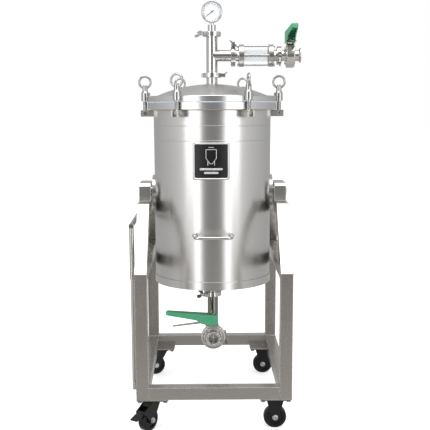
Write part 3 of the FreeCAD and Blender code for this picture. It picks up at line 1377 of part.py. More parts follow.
def valve_handle(prefix, frame, bottom, top):
    """A hollow moulded handle along local X, and the spring trigger hinged inside it."""
    back = -size.handle_back
    length = size.handle_length
    side_outline = [
        (bottom, back),
        (top + size.handle_base_top - 5, back),
        (top + size.handle_base_top, back + 6),
        (top + size.handle_tip_top, length - 7),
        (top + size.handle_tip_top - 5, length),
        (top + size.handle_tip_bottom, length - 3),
        (top + 20, size.trigger_pin_reach + 26),
        (bottom, size.trigger_pin_reach - 9),
    ]
    half = size.handle_half_width
    tip = size.handle_tip_half
    side_body = padded(f"{prefix}_handle_side", frame, side_outline, -half, half, "y")
    plan_outline = [
        (back, 6 - half), (back, half - 6), Arc(as_dim(6), clockwise=True), (back + 6, half),
        (size.handle_back, half), (length - tip, tip), Arc(tip, clockwise=True), (length, 0),
        Arc(tip, clockwise=True), (length - tip, -tip), (size.handle_back, -half),
        (back + 6, -half), Arc(as_dim(6), clockwise=True),
    ]
    plan_body = padded(f"{prefix}_handle_plan", frame, plan_outline, bottom, top + size.handle_tip_top)
    shell = size.handle_shell
    hollow_outline = [
        (bottom - 5, size.handle_back + 3),
        (top + size.handle_base_top - shell, size.handle_back + 3),
        (top + size.handle_tip_top - shell, length - tip),
        (bottom - 5, length - tip),
    ]
    hollow_side = padded(f"{prefix}_hollow_side", frame, hollow_outline, -half, half, "y")
    hollow_plan = padded(f"{prefix}_hollow_plan", frame, [
        (size.handle_back + 3, half - shell), (length - tip, tip - shell + 1),
        (length - tip, shell - tip - 1), (size.handle_back + 3, shell - half),
    ], bottom - 5, top + size.handle_tip_top)
    pin_spot = (top + size.trigger_pin_height, size.trigger_pin_reach)
    tools = [
        common(f"{prefix}_hollow", hollow_side, hollow_plan),
        cylinder(f"{prefix}_handle_bore", frame, size.stem_radius, bottom, top + size.handle_tip_top),
        cylinder(f"{prefix}_pin_hole", frame, size.trigger_pin_radius + size.running_gap, -half, half, "y",
                 pin_spot),
    ]
    publish(f"{prefix}_handle", cut(f"{prefix}_grip", common(f"{prefix}_handle_solid", side_body, plan_body),
                                    *tools))
    sheet = size.trigger_sheet
    near = size.trigger_pin_reach
    reach = size.trigger_reach
    low = top + size.trigger_pin_height
    trigger_outline = [
        (low + 4, near - 5), (low + 4, near + 5), (low - 4, near + 14), (top - 2, reach),
        (top - 2 - sheet, reach), (low - 4 - sheet * 1.6, near + 10), (bottom + 1, near - 1),
        (bottom + 1, near - 6),
    ]
    lever = padded(f"{prefix}_trigger_lever", frame, trigger_outline, -size.trigger_half_width,
                   size.trigger_half_width, "y")
    pin = cylinder(f"{prefix}_trigger_pin", frame, size.trigger_pin_radius, 1.5 - half, half - 1.5, "y",
                   pin_spot)
    publish(f"{prefix}_trigger", fuse(f"{prefix}_trigger_body", lever, pin))


def valves():
    upper = Frame(size.sight_plane + size.valve_half_length, 0, size.branch_height,
                  Rotation(Vector(0, 0, 1), 270))
    lower = Frame(0, -size.elbow_plane - size.valve_half_length, size.valve_low_height,
                  Rotation(Vector(0, 0, 1), 180))
    valve("upper_valve", upper)
    valve("lower_valve", lower)


def outlet_elbow():
    start = size.outlet_plane - size.half_seal
    bend = size.elbow_radius
    height = size.valve_low_height
    end = size.elbow_plane - size.half_seal
    level = Frame(0, 0, height)

    def run(name, radius):
        return [
            cylinder(f"{name}_drop", WORLD, radius, height + bend, start),
            ring(f"{name}_bend", WORLD, bend, radius, (0, -bend, height + bend), "x", 270, 90),
            cylinder(f"{name}_level", level, radius, -end, -bend, "y"),
        ]

    solids = run("elbow", size.pipe_radius)
    solids += ferrule("elbow_top", WORLD, start, -1)
    solids += ferrule("elbow_end", level, -end, 1, "y")
    publish("outlet_elbow", cut("outlet_elbow_body", fuse("elbow_solid", *solids),
                                *run("elbow_bore", size.pipe_bore)))


# ---------------------------------------------------------------- gauge

def gauge():
    face = size.tee_plane + size.half_seal
    taper_top = face + size.ferrule_rim + size.ferrule_taper
    adapter = [
        (0, face), (size.ferrule_radius, face), (size.ferrule_radius, face + size.ferrule_rim),
        (size.adapter_radius, taper_top), (size.adapter_radius, size.adapter_top),
        (size.socket_radius, size.adapter_top), (size.socket_radius, size.socket_top), (0, size.socket_top),
    ]
    centre = Frame(0, 0, size.gauge_height)
    case_seat = cylinder("gauge_seat", centre, size.gauge_radius, -size.gauge_front, size.gauge_back, "y")
    publish("gauge_adapter", cut("gauge_adapter_fitted", turned("gauge_adapter_body", WORLD, adapter),
                                 case_seat))
    sheet = size.gauge_sheet
    case = [
        (size.gauge_lip, -size.gauge_front),
        (size.gauge_radius, -size.gauge_front),
        (size.gauge_radius, size.gauge_back),
        (0, size.gauge_back),
        (0, size.gauge_back - sheet),
        (size.gauge_bore, size.gauge_back - sheet),
        (size.gauge_bore, sheet - size.gauge_front),
        (size.gauge_lip, sheet - size.gauge_front),
    ]
    publish("gauge_case", turned("gauge_case_body", centre, case, "y"))
    dial_back = size.dial_sheet - size.dial_front
    publish("gauge_dial", fuse(
        "gauge_dial_body",
        cylinder("dial_plate", centre, size.gauge_bore, -size.dial_front, dial_back, "y"),
        cylinder("dial_arbor", centre, size.arbor_radius, -size.needle_front - size.needle_sheet,
                 -size.dial_front, "y")))
    window = -size.gauge_front + sheet
    publish("gauge_window", cylinder("gauge_window_disc", centre, size.gauge_bore, window, window + sheet,
                                     "y"))
    turned_needle = Frame(0, 0, size.gauge_height, Rotation(Vector(0, 1, 0), -NEEDLE_ANGLE))
    front = -size.needle_front
    pointer_outline = [
        (-1.5, -size.needle_tail), (1.5, -size.needle_tail), (1.1, size.needle_length * 0.7),
        (0.3, size.needle_length), (-0.3, size.needle_length), (-1.1, size.needle_length * 0.7),
    ]
    pointer = padded("needle_pointer", turned_needle, pointer_outline, front, front + size.needle_sheet, "y")
    hub = cylinder("needle_hub", centre, size.needle_hub, front - size.needle_sheet,
                   front + size.needle_sheet, "y")
    bore = cylinder("needle_bore", centre, size.arbor_radius + size.running_gap,
                    front - size.needle_sheet, front + size.needle_sheet, "y")
    publish("gauge_needle", cut("gauge_needle_body", fuse("needle_solid", pointer, hub), bore))


# ---------------------------------------------------------------- build and write

side_frames()
rails()
corner_plates()
fixed_forks()
swivel_forks(*swivel_plates())
wheels()
bearings()
push_handle()
vessel()
lid()
swing_bolts()
trunnions()
front_handle()
name_plate()
tee()
sight_glass()
clamps()
valves()
outlet_elbow()
gauge()
doc.recompute()

failed = [thing.Name for thing in doc.Objects if {"Invalid", "Error"} & set(thing.State)]
if failed:
    raise RuntimeError(f"objects failed to build: {failed}")
for node in nodes:
    if node.Shape.isNull() or not node.Shape.isValid() or not node.Shape.Solids:
        raise RuntimeError(f"{node.Label} has no valid solid")

os.makedirs("parts", exist_ok=True)
for node in nodes:
    node.Shape.exportStep(f"parts/{node.Label}.step")
print(len(nodes), "sub-parts,", sum(len(node.Shape.Solids) for node in nodes), "solids")
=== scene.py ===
"""Looks of the conical fermenter: finishes, welds, threads, dial, plate, studio and camera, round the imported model."""
import json
import math

import bpy
from mathutils import Matrix, Vector
from mathutils.bvhtree import BVHTree


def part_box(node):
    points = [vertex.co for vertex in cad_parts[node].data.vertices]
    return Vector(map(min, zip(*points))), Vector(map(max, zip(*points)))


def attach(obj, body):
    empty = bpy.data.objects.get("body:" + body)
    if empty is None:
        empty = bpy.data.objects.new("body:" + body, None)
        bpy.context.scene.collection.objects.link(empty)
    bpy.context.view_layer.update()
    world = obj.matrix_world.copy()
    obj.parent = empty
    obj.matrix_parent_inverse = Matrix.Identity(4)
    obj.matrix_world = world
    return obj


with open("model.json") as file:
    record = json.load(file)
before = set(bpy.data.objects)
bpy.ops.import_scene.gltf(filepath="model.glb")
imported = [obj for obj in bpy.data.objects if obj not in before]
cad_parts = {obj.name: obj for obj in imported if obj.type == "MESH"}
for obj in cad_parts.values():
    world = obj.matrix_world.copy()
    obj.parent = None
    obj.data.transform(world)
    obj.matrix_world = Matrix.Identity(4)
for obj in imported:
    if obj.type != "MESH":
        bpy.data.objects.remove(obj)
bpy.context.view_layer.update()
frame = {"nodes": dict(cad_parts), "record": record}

NODES = frame["nodes"]
MM = 0.001
X_AXIS = Vector((1.0, 0.0, 0.0))
Y_AXIS = Vector((0.0, 1.0, 0.0))
Z_AXIS = Vector((0.0, 0.0, 1.0))


def middle(node):
    """Centre of a node's box."""
    low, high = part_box(node)
    return (low + high) / 2


def half_size(node):
    """Half of each side of a node's box."""
    low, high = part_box(node)
    return (high - low) / 2


VESSEL = middle("vessel_shell")
WALL = half_size("vessel_shell").x
FLANGE_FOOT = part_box("vessel_flange")[0].z


# ---------------------------------------------------------------- node trees

class Tree:
    """A node tree with short calls for the nodes the finishes use."""

    def __init__(self, tree):
        self.tree = tree
        self.tree.nodes.clear()

    def node(self, kind, **settings):
        made = self.tree.nodes.new(kind)
        for name, value in settings.items():
            setattr(made, name, value)
        return made

    def link(self, source, target):
        self.tree.links.new(source, target)

    def place(self):
        """Object coordinates: metres, in the model's own frame."""
        return self.node("ShaderNodeTexCoord").outputs["Object"]

    def noise(self, vector, stretch, detail=2.0, rough=0.5):
        """Noise with a frequency of its own along each axis."""
        mapping = self.node("ShaderNodeMapping")
        mapping.inputs["Scale"].default_value = stretch
        noise = self.node("ShaderNodeTexNoise")
        noise.inputs["Scale"].default_value = 1.0
        noise.inputs["Detail"].default_value = detail
        noise.inputs["Roughness"].default_value = rough
        self.link(vector, mapping.inputs["Vector"])
        self.link(mapping.outputs["Vector"], noise.inputs["Vector"])
        return noise.outputs["Fac"]

    def spread(self, value, low, high, start=0.3, end=0.7):
        """A value from start to end becomes one from low to high."""
        scale = self.node("ShaderNodeMapRange")
        scale.inputs["From Min"].default_value = start
        scale.inputs["From Max"].default_value = end
        scale.inputs["To Min"].default_value = low
        scale.inputs["To Max"].default_value = high
        self.link(value, scale.inputs["Value"])
        return scale.outputs["Result"]

    def tint(self, value, dark, light):
        """A value from 0 to 1 becomes a colour from dark to light."""
        mix = self.node("ShaderNodeMix", data_type="RGBA")
        mix.inputs[6].default_value = (*dark, 1.0)
        mix.inputs[7].default_value = (*light, 1.0)
        self.link(value, mix.inputs[0])
        return mix.outputs[2]

    def rounded(self, radius):
        """A normal that rounds sharp edges."""
        bevel = self.node("ShaderNodeBevel", samples=6)
        bevel.inputs["Radius"].default_value = radius
        return bevel.outputs["Normal"]

    def bump(self, height, depth, normal=None):
        """A normal from a height, depth in metres."""
        bump = self.node("ShaderNodeBump")
        bump.inputs["Strength"].default_value = 1.0
        bump.inputs["Distance"].default_value = depth
        self.link(height, bump.inputs["Height"])
        if normal is not None:
            self.link(normal, bump.inputs["Normal"])
        return bump.outputs["Normal"]


def finish(name):
    """A new material, its tree and its Principled shader."""
    material = bpy.data.materials.new(name)
    material.use_nodes = True
    tree = Tree(material.node_tree)
    shader = tree.node("ShaderNodeBsdfPrincipled")
    output = tree.node("ShaderNodeOutputMaterial")
    tree.link(shader.outputs["BSDF"], output.inputs["Surface"])
    return material, tree, shader


def scaled(colour, factor):
    return tuple(min(1.0, channel * factor) for channel in colour)


# ---------------------------------------------------------------- finishes

FINE = 900.0        # brush lines, per metre across them
SLOW = 9.0          # brush lines, per metre along them


def steel(name, colour, roughness, lines=(FINE, FINE, FINE), depth=0.000002, edge=0.0006, stretch=0.0,
          cloud=0.06, vary=0.2):
    """Bare steel: brush lines along the slow axis, cloudy variation, rounded edges."""
    material, tree, shader = finish(name)
    place = tree.place()
    brush = tree.noise(place, lines, detail=3.0, rough=0.6)
    clouds = tree.noise(place, (7.0, 7.0, 7.0), detail=4.0, rough=0.6)
    both = tree.node("ShaderNodeMath", operation="MULTIPLY_ADD")
    both.inputs[1].default_value = 0.55
    tree.link(brush, both.inputs[0])
    half = tree.spread(clouds, 0.1, 0.35)
    tree.link(half, both.inputs[2])
    tone = tree.tint(both.outputs[0], scaled(colour, 1 - cloud), scaled(colour, 1 + cloud))
    tree.link(tone, shader.inputs["Base Color"])
    tree.link(tree.spread(both.outputs[0], roughness * (1 - vary), roughness * (1 + vary)), shader.inputs["Roughness"])
    tree.link(tree.bump(brush, depth, tree.rounded(edge)), shader.inputs["Normal"])
    shader.inputs["Metallic"].default_value = 1.0
    if stretch:
        shader.inputs["Anisotropic"].default_value = stretch
        shader.inputs["Anisotropic Rotation"].default_value = 0.25
        tangent = tree.node("ShaderNodeTangent", direction_type="RADIAL", axis="Z")
        tree.link(tangent.outputs["Tangent"], shader.inputs["Tangent"])
    return material


def painted(name, colour, roughness, grain=500.0, depth=0.000004, coat=0.0, edge=0.0008, level=0.5):
    """Paint or moulded plastic: fine orange peel, faint patches, a clear coat where it is glossy."""
    material, tree, shader = finish(name)
    place = tree.place()
    peel = tree.noise(place, (grain, grain, grain), detail=2.0)
    patches = tree.noise(place, (40.0, 40.0, 40.0), detail=4.0)
    tree.link(tree.tint(patches, scaled(colour, 0.88), scaled(colour, 1.12)), shader.inputs["Base Color"])
    tree.link(tree.spread(patches, roughness * 0.85, roughness * 1.2), shader.inputs["Roughness"])
    tree.link(tree.bump(peel, depth, tree.rounded(edge)), shader.inputs["Normal"])
    shader.inputs["Specular IOR Level"].default_value = level
    shader.inputs["Coat Weight"].default_value = coat
    shader.inputs["Coat Roughness"].default_value = 0.08
    return material


def clear(name, colour, roughness, alpha):
    """Clear glass: mostly see-through, with bright reflections."""
    material, tree, shader = finish(name)
    haze = tree.noise(tree.place(), (60.0, 60.0, 60.0), detail=3.0)
    tree.link(tree.tint(haze, scaled(colour, 0.9), colour), shader.inputs["Base Color"])
    tree.link(tree.spread(haze, roughness, roughness * 2.0), shader.inputs["Roughness"])
    shader.inputs["Alpha"].default_value = alpha
    shader.inputs["IOR"].default_value = 1.47
    return material


def silicone(name, colour):
    """Milky silicone rubber."""
    material, tree, shader = finish(name)
    mottle = tree.noise(tree.place(), (90.0, 90.0, 90.0), detail=3.0)
    tree.link(tree.tint(mottle, scaled(colour, 0.94), scaled(colour, 1.05)), shader.inputs["Base Color"])
    tree.link(tree.spread(mottle, 0.32, 0.45), shader.inputs["Roughness"])
    shader.inputs["Subsurface Weight"].default_value = 0.3
    shader.inputs["Subsurface Scale"].default_value = 0.003
    return material


FRAME_COLOUR = (0.53, 0.515, 0.49)
TANK_COLOUR = (0.60, 0.597, 0.59)
BRIGHT_COLOUR = (0.56, 0.555, 0.545)

MATERIALS = {
    "tank_steel": steel("tank_steel", TANK_COLOUR, 0.30, (SLOW, SLOW, FINE), stretch=0.5, cloud=0.025, vary=0.05),
    "leg_steel": steel("leg_steel", FRAME_COLOUR, 0.27, (FINE, FINE, SLOW), edge=0.003, cloud=0.03, vary=0.08),
    "along_x_steel": steel("along_x_steel", FRAME_COLOUR, 0.27, (SLOW, FINE, FINE), edge=0.003, cloud=0.03, vary=0.08),
    "along_y_steel": steel("along_y_steel", FRAME_COLOUR, 0.27, (FINE, SLOW, FINE), edge=0.003, cloud=0.03, vary=0.08),
    "plate_steel": steel("plate_steel", FRAME_COLOUR, 0.34, (SLOW, FINE, FINE), edge=0.0008),
    "polished_steel": steel("polished_steel", BRIGHT_COLOUR, 0.17, (300.0, 300.0, 300.0), depth=0.000001, cloud=0.03),
    "valve_steel": steel("valve_steel", (0.72, 0.71, 0.70), 0.12, (300.0, 300.0, 300.0), depth=0.000001, edge=0.002,
                         cloud=0.03),
    "bolt_steel": steel("bolt_steel", (0.42, 0.415, 0.41), 0.2, (300.0, 300.0, 300.0), depth=0.000001, edge=0.001),
    "block_steel": steel("block_steel", (0.68, 0.68, 0.67), 0.2, (FINE, FINE, SLOW), edge=0.003),
    # Painted shade: the outlet elbow's polished steel is darkened far below the other polished steel, standing in for
    # the shadow under the tank and the dark it mirrors.
    "painted_shade_pipe_steel": steel("painted_shade_pipe_steel", (0.26, 0.25, 0.23), 0.2, (300.0, 300.0, 300.0), depth=0.000001),
    "zinc_steel": steel("zinc_steel", (0.55, 0.57, 0.60), 0.27, (260.0, 260.0, 260.0), edge=0.0004),
    "weld_steel": steel("weld_steel", (0.50, 0.48, 0.44), 0.3, (500.0, 500.0, 500.0), edge=0.0004, cloud=0.1),
    "bronze": steel("bronze", (0.42, 0.29, 0.15), 0.42, (700.0, 700.0, 700.0), edge=0.0004, cloud=0.15),
    "caster_steel": painted("caster_steel", (0.006, 0.006, 0.0066), 0.2, coat=0.1, level=0.3),
    "wheel_black": painted("wheel_black", (0.006, 0.006, 0.007), 0.3, level=0.3),
    "handle_green": painted("handle_green", (0.055, 0.315, 0.165), 0.36, grain=900.0, depth=0.000004, edge=0.0015),
    "dial_white": painted("dial_white", (0.84, 0.87, 0.92), 0.5, depth=0.000002),
    "needle_black": painted("needle_black", (0.012, 0.012, 0.014), 0.45),
    "plate_black": painted("plate_black", (0.006, 0.006, 0.007), 0.34, grain=1500.0, level=0.3),
    "plate_silver": steel("plate_silver", (0.62, 0.62, 0.62), 0.3, (500.0, 500.0, 500.0), edge=0.0002),
    "gasket_blue": silicone("gasket_blue", (0.50, 0.60, 0.72)),
    "sight_glass": clear("sight_glass", (0.50, 0.54, 0.58), 0.03, 0.15),
    "gauge_glass": clear("gauge_glass", (0.75, 0.77, 0.78), 0.02, 0.12),
}


def record_slots():
    """The names of the record's material slots."""
    return [entry["slot"] for entry in frame["record"]["materials"]]


NODE_FINISH = {
    "legs": "leg_steel",
    "slanted_braces": "along_y_steel",
    "apex_rails": "along_y_steel",
    "side_rails": "along_y_steel",
    "cross_rails": "along_x_steel",
    "name_plate": "plate_black",
    "upper_valve_body": "valve_steel",
    "lower_valve_body": "valve_steel",
    # The outlet elbow takes the darkened steel, with its painted shade.
    "outlet_elbow": "painted_shade_pipe_steel",
    "bearing_blocks": "block_steel",
    "gauge_case": "valve_steel",
    **{f"swing_bolt_{number}": "bolt_steel" for number in range(1, 7)},
}


def slot_of(material_name):
    """The slot that a packed material's name starts with."""
    found = [slot for slot in record_slots() if material_name.startswith(slot)]
    return max(found, key=len) if found else None


def dress_nodes():
    """Gives every slot of every node its finish."""
    for name, node in NODES.items():
        for holder in node.material_slots:
            own = slot_of(holder.material.name) if holder.material else None
            chosen = NODE_FINISH.get(name, own)
            if chosen == "frame_steel":
                chosen = "plate_steel"
            holder.material = MATERIALS[chosen]


dress_nodes()


# ---------------------------------------------------------------- pieces

def piece(name, vertices, faces, body, finish_name, slot_name=None, smooth=True):
    """A mesh that rides on a body, in a named finish."""
    mesh = bpy.data.meshes.new(name)
    mesh.from_pydata([tuple(v) for v in vertices], [], faces)
    mesh.polygons.foreach_set("use_smooth", [smooth] * len(mesh.polygons))
    mesh.update()
    made = bpy.data.objects.new(name, mesh)
    bpy.context.scene.collection.objects.link(made)
    made.data.materials.append(MATERIALS[finish_name])
    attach(made, body)
    return made


def joined(parts):
    """Several (vertices, faces) pairs as one."""
    vertices, faces = [], []
    for part_vertices, part_faces in parts:
        first = len(vertices)
        vertices += part_vertices
        faces += [tuple(first + index for index in face) for face in part_faces]
    return vertices, faces


def across(direction):
    """Two directions at right angles to a direction and to each other."""
    helper = X_AXIS if abs(direction.x) < 0.9 else Y_AXIS
    first = direction.cross(helper).normalized()
    return first, direction.cross(first).normalized()


def tube(path, radius, closed=False, sides=8, ripple=0.0):
    """A round bar along a path; ripple swells and narrows it from point to point, as a weld bead."""
    count = len(path)
    vertices, faces = [], []
    first = None
    for index, point in enumerate(path):
        ahead = path[(index + 1) % count] if closed else path[min(index + 1, count - 1)]
        behind = path[index - 1] if closed or index else path[0]
        direction = (ahead - behind).normalized()
        if first is None:
            first = across(direction)[0]
        first = (first - direction * first.dot(direction)).normalized()
        second = direction.cross(first)
        size = radius * (1 + ripple * (-1) ** index)
        for side in range(sides):
            turn = 2 * math.pi * side / sides
            vertices.append(point + size * (first * math.cos(turn) + second * math.sin(turn)))
    spans = count if closed else count - 1
    for index in range(spans):
        start, end = index * sides, (index + 1) % count * sides
        for side in range(sides):
            other = (side + 1) % sides
            faces.append((start + side, start + other, end + other, end + side))
    if not closed:
        faces.append(tuple(reversed(range(sides))))
        faces.append(tuple(range((count - 1) * sides, count * sides)))
    return vertices, faces


def turned(outline, centre, axis=Z_AXIS, segments=96):
    """A closed outline of (radius, height) pairs turned round an axis through centre."""
    first, second = across(axis)
    rows = len(outline)
    vertices, faces = [], []
    for segment in range(segments):
        turn = 2 * math.pi * segment / segments
        out = first * math.cos(turn) + second * math.sin(turn)
        vertices += [centre + out * radius + axis * height for radius, height in outline]
    for segment in range(segments):
        start, end = segment * rows, (segment + 1) % segments * rows
        for row in range(rows):
            other = (row + 1) % rows
            faces.append((start + row, end + row, end + other, start + other))
    return vertices, faces


def ring_path(centre, radius, axis=Z_AXIS, points=96):
    first, second = across(axis)
    turns = [2 * math.pi * index / points for index in range(points)]
    return [centre + radius * (first * math.cos(turn) + second * math.sin(turn)) for turn in turns]


def thread(foot, axis, length, radius, pitch, depth, segments=20):
    """A screw's helical ridge, pointed in section, from foot along axis."""
    first, second = across(axis)
    count = int(length / pitch * segments)
    section = ((-0.45, -0.25), (0.0, 1.0), (0.45, -0.25))
    vertices, faces = [], []
    for index in range(count + 1):
        turn = 2 * math.pi * index / segments
        out = first * math.cos(turn) + second * math.sin(turn)
        rise = pitch * index / segments
        for along, outward in section:
            vertices.append(foot + axis * (rise + along * pitch) + out * (radius + outward * depth))
    for index in range(count):
        start, end = index * 3, index * 3 + 3
        for row in range(3):
            other = (row + 1) % 3
            faces.append((start + row, start + other, end + other, end + row))
    faces.append((2, 1, 0))
    faces.append((count * 3, count * 3 + 1, count * 3 + 2))
    return vertices, faces


def spaced(corners, step, closed=False):
    """Points at most a step apart along straight runs between corners."""
    path = []
    ends = corners[1:] + corners[:1] if closed else corners[1:]
    for start, end in zip(corners, ends):
        count = max(1, math.ceil((end - start).length / step))
        path += [start.lerp(end, index / count) for index in range(count)]
    return path if closed else path + [corners[-1]]


def bead(path, radius, closed=True):
    """A weld bead with the ripples of its passes."""
    return tube(path, radius, closed=closed, sides=6, ripple=0.07)


def caster(node):
    """Finds where a ray meets a node's surface."""
    mesh = NODES[node].data
    vertices = [vertex.co for vertex in mesh.vertices]
    tree = BVHTree.FromPolygons(vertices, [tuple(face.vertices) for face in mesh.polygons])

    def cast(origin, direction):
        return tree.ray_cast(origin, direction)[0]

    return cast


JOINTS = {joint["name"]: joint for joint in frame["record"]["behaviour"]["joints"]}


def joint_place(name):
    return Vector(JOINTS[name]["pos_m"])


def joint_axis(name):
    return Vector(JOINTS[name]["axis"]).normalized()


# ---------------------------------------------------------------- vessel

SEAM_HALF = 2.2 * MM
SEAM_RISE = 0.35 * MM
SEAM_DROPS = (51 * MM, 99.5 * MM)      # the wall's seams, below the flange
PAD_RADIUS = 55 * MM
PIPE_RADIUS = 19.05 * MM
PIPE_SEAM = 0.6 * MM
FERRULE_REACH = 12 * MM         # from a ferrule's face to its seam
BRANCH_REACH = 48 * MM          # from the lower valve's pipe to the seam over it
BEAD_STEP = 2.4 * MM
RING_BEAD = 1.3 * MM
PAD_BEAD = 1.6 * MM
HANDLE_BEAD = 1.4 * MM
NECK_BEAD = 1.6 * MM
SADDLE_BEAD = 1.1 * MM
FRAME_BEAD = 1.2 * MM


def wall_seams():
    """Planished weld seams round the wall."""
    parts = []
    for drop in SEAM_DROPS:
        outline = [(WALL - SEAM_RISE, -SEAM_HALF)]
        for step in range(7):
            share = step / 6
            outline.append((WALL + SEAM_RISE * math.sin(math.pi * share), SEAM_HALF * (2 * share - 1)))
        outline.append((WALL - SEAM_RISE, SEAM_HALF))
        centre = Vector((VESSEL.x, VESSEL.y, FLANGE_FOOT - drop))
        parts.append(turned(outline, centre, segments=192))
    piece("wall_seams", *joined(parts), "tank", "tank_steel")


def vessel_welds():
    """Beads where the flange, the bottom band, the trunnion pads and the front handle meet the wall."""
    parts, roses = [], []
    for height in (FLANGE_FOOT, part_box("bottom_band")[1].z):
        centre = Vector((VESSEL.x, VESSEL.y, height))
        parts.append(bead(ring_path(centre, WALL, points=420), RING_BEAD))
    shaft = middle("bearing_bushes")
    for side in (-1, 1):
        path = []
        for index in range(160):
            turn = 2 * math.pi * index / 160
            across_wall = PAD_RADIUS * math.cos(turn)
            out = math.sqrt(WALL ** 2 - across_wall ** 2)
            height = shaft.z + PAD_RADIUS * math.sin(turn)
            path.append(Vector((VESSEL.x + side * out, VESSEL.y + across_wall, height)))
        parts.append(bead(path, PAD_BEAD))
    grip, grip_half = middle("front_handle"), half_size("front_handle")
    bar = grip_half.z
    for side in (-1, 1):
        foot = side * (grip_half.x - bar)
        wall = -math.sqrt(WALL ** 2 - foot ** 2)
        centre = Vector((VESSEL.x + foot, VESSEL.y + wall, grip.z))
        parts.append(bead(ring_path(centre, bar, Y_AXIS, 32), HANDLE_BEAD))
        out = Vector((foot, wall, 0.0)).normalized()
        rose = [(bar, -1 * MM), (bar + 5 * MM, -1 * MM), (bar + 5 * MM, 1.4 * MM), (bar + 4 * MM, 2.2 * MM),
                (bar, 2.6 * MM)]
        roses.append(turned(rose, centre, out, 48))
    piece("handle_roses", *joined(roses), "tank", "polished_steel")
    piece("vessel_welds", *joined(parts), "tank", "weld_steel", "tank_steel")


def pipe_welds():
    """Beads at the lid's neck and the tee's branch, and thin seams where ferrules join their pipes."""
    parts = []
    cast = caster("lid")
    start = Vector((VESSEL.x, VESSEL.y - PIPE_RADIUS - 1.5 * MM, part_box("lid")[1].z - 9 * MM))
    met = cast(start, -Z_AXIS)
    parts.append(bead(ring_path(Vector((VESSEL.x, VESSEL.y, met.z)), PIPE_RADIUS, points=64), NECK_BEAD))
    branch = joint_place("upper_valve_turn")
    saddle = []
    for index in range(72):
        turn = 2 * math.pi * index / 72
        saddle.append(Vector((VESSEL.x + PIPE_RADIUS * abs(math.cos(turn)), VESSEL.y + PIPE_RADIUS * math.sin(turn),
                              branch.z + PIPE_RADIUS * math.cos(turn))))
    parts.append(bead(saddle, SADDLE_BEAD))
    tee_low, tee_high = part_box("tee")
    elbow_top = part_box("outlet_elbow")[1].z
    outlet = joint_place("lower_valve_turn")
    for height in (tee_low.z + FERRULE_REACH, tee_high.z - FERRULE_REACH, elbow_top - FERRULE_REACH,
                   outlet.z + BRANCH_REACH):
        ring = ring_path(Vector((VESSEL.x, VESSEL.y, height)), PIPE_RADIUS, points=64)
        parts.append(tube(ring, PIPE_SEAM, True, 6))
    piece("pipe_welds", *joined(parts), "tank", "polished_steel")


wall_seams()
vessel_welds()
pipe_welds()


# ---------------------------------------------------------------- frame

def frame_welds():
    """Beads round the frame tubes' joints."""
    parts = []
    legs_low, legs_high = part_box("legs")
    apex_low, apex_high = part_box("apex_rails")
    cross_low, cross_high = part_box("cross_rails")
    tube_side = cross_high.z - cross_low.z
    centre = middle("legs")
    slope = math.atan2(apex_high.z - legs_high.z, (legs_high.y - legs_low.y) / 2 - (apex_high.y - apex_low.y) / 2)
    leg_shift = tube_side * math.tan((math.pi / 2 - slope) / 2)
    apex_shift = tube_side * math.tan(slope / 2)
    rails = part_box("side_rails")
    for side in (-1, 1):
        outer_x = centre.x + side * (legs_high.x - legs_low.x) / 2
        inner_x = outer_x - side * tube_side
        for end in (-1, 1):
            outer_y = centre.y + end * (legs_high.y - legs_low.y) / 2
            inner_y = outer_y - end * tube_side
            low, high = cross_low.z, cross_high.z
            parts.append([Vector((outer_x, inner_y, low)), Vector((outer_x, inner_y, high)),
                          Vector((inner_x, inner_y, high)), Vector((inner_x, inner_y, low))])
            low, high = rails[1].z - tube_side, rails[1].z
            parts.append([Vector((outer_x, inner_y, low)), Vector((outer_x, inner_y, high)),
                          Vector((inner_x, inner_y, high)), Vector((inner_x, inner_y, low))])
            low, high = cross_low.z, cross_high.z
            parts.append([Vector((inner_x, outer_y, low)), Vector((inner_x, outer_y, high)),
                          Vector((inner_x, inner_y, high)), Vector((inner_x, inner_y, low))])
            parts.append([Vector((outer_x, outer_y, legs_high.z)), Vector((inner_x, outer_y, legs_high.z)),
                          Vector((inner_x, inner_y, legs_high.z - leg_shift)),
                          Vector((outer_x, inner_y, legs_high.z - leg_shift))])
            apex_y = centre.y + end * (apex_high.y - apex_low.y) / 2
            parts.append([Vector((outer_x, apex_y, apex_high.z)), Vector((inner_x, apex_y, apex_high.z)),
                          Vector((inner_x, apex_y - end * apex_shift, apex_low.z)),
                          Vector((outer_x, apex_y - end * apex_shift, apex_low.z))])
    beads = [bead(spaced(corners, BEAD_STEP, closed=True), FRAME_BEAD) for corners in parts]
    piece("frame_welds", *joined(beads), "frame", "weld_steel", "frame_steel")


frame_welds()


# ---------------------------------------------------------------- threads

BOLT_RADIUS = 7 * MM
BOLT_PITCH = 2 * MM
BOLT_RIDGE = 0.5 * MM
TIP_THREAD = (92.8 * MM, 95.2 * MM)     # above the bolt's pivot


def bolt_threads():
    """Threads on the swing bolts, below the lid and at the tips."""
    rest_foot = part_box("lid")[0].z
    lug_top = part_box("bolt_lugs")[1].z
    for number in range(1, 7):
        pivot = joint_place(f"swing_bolt_{number}_swing")
        parts = []
        stretches = ((lug_top + 1 * MM, rest_foot - 1.5 * MM), (pivot.z + TIP_THREAD[0], pivot.z + TIP_THREAD[1]))
        for low, high in stretches:
            foot = Vector((pivot.x, pivot.y, low))
            parts.append(thread(foot, Z_AXIS, high - low, BOLT_RADIUS, BOLT_PITCH, BOLT_RIDGE))
        piece(f"bolt_thread_{number}", *joined(parts), f"swing_bolt_{number}", "bolt_steel",
              "polished_steel", smooth=False)


bolt_threads()


# ---------------------------------------------------------------- name plate

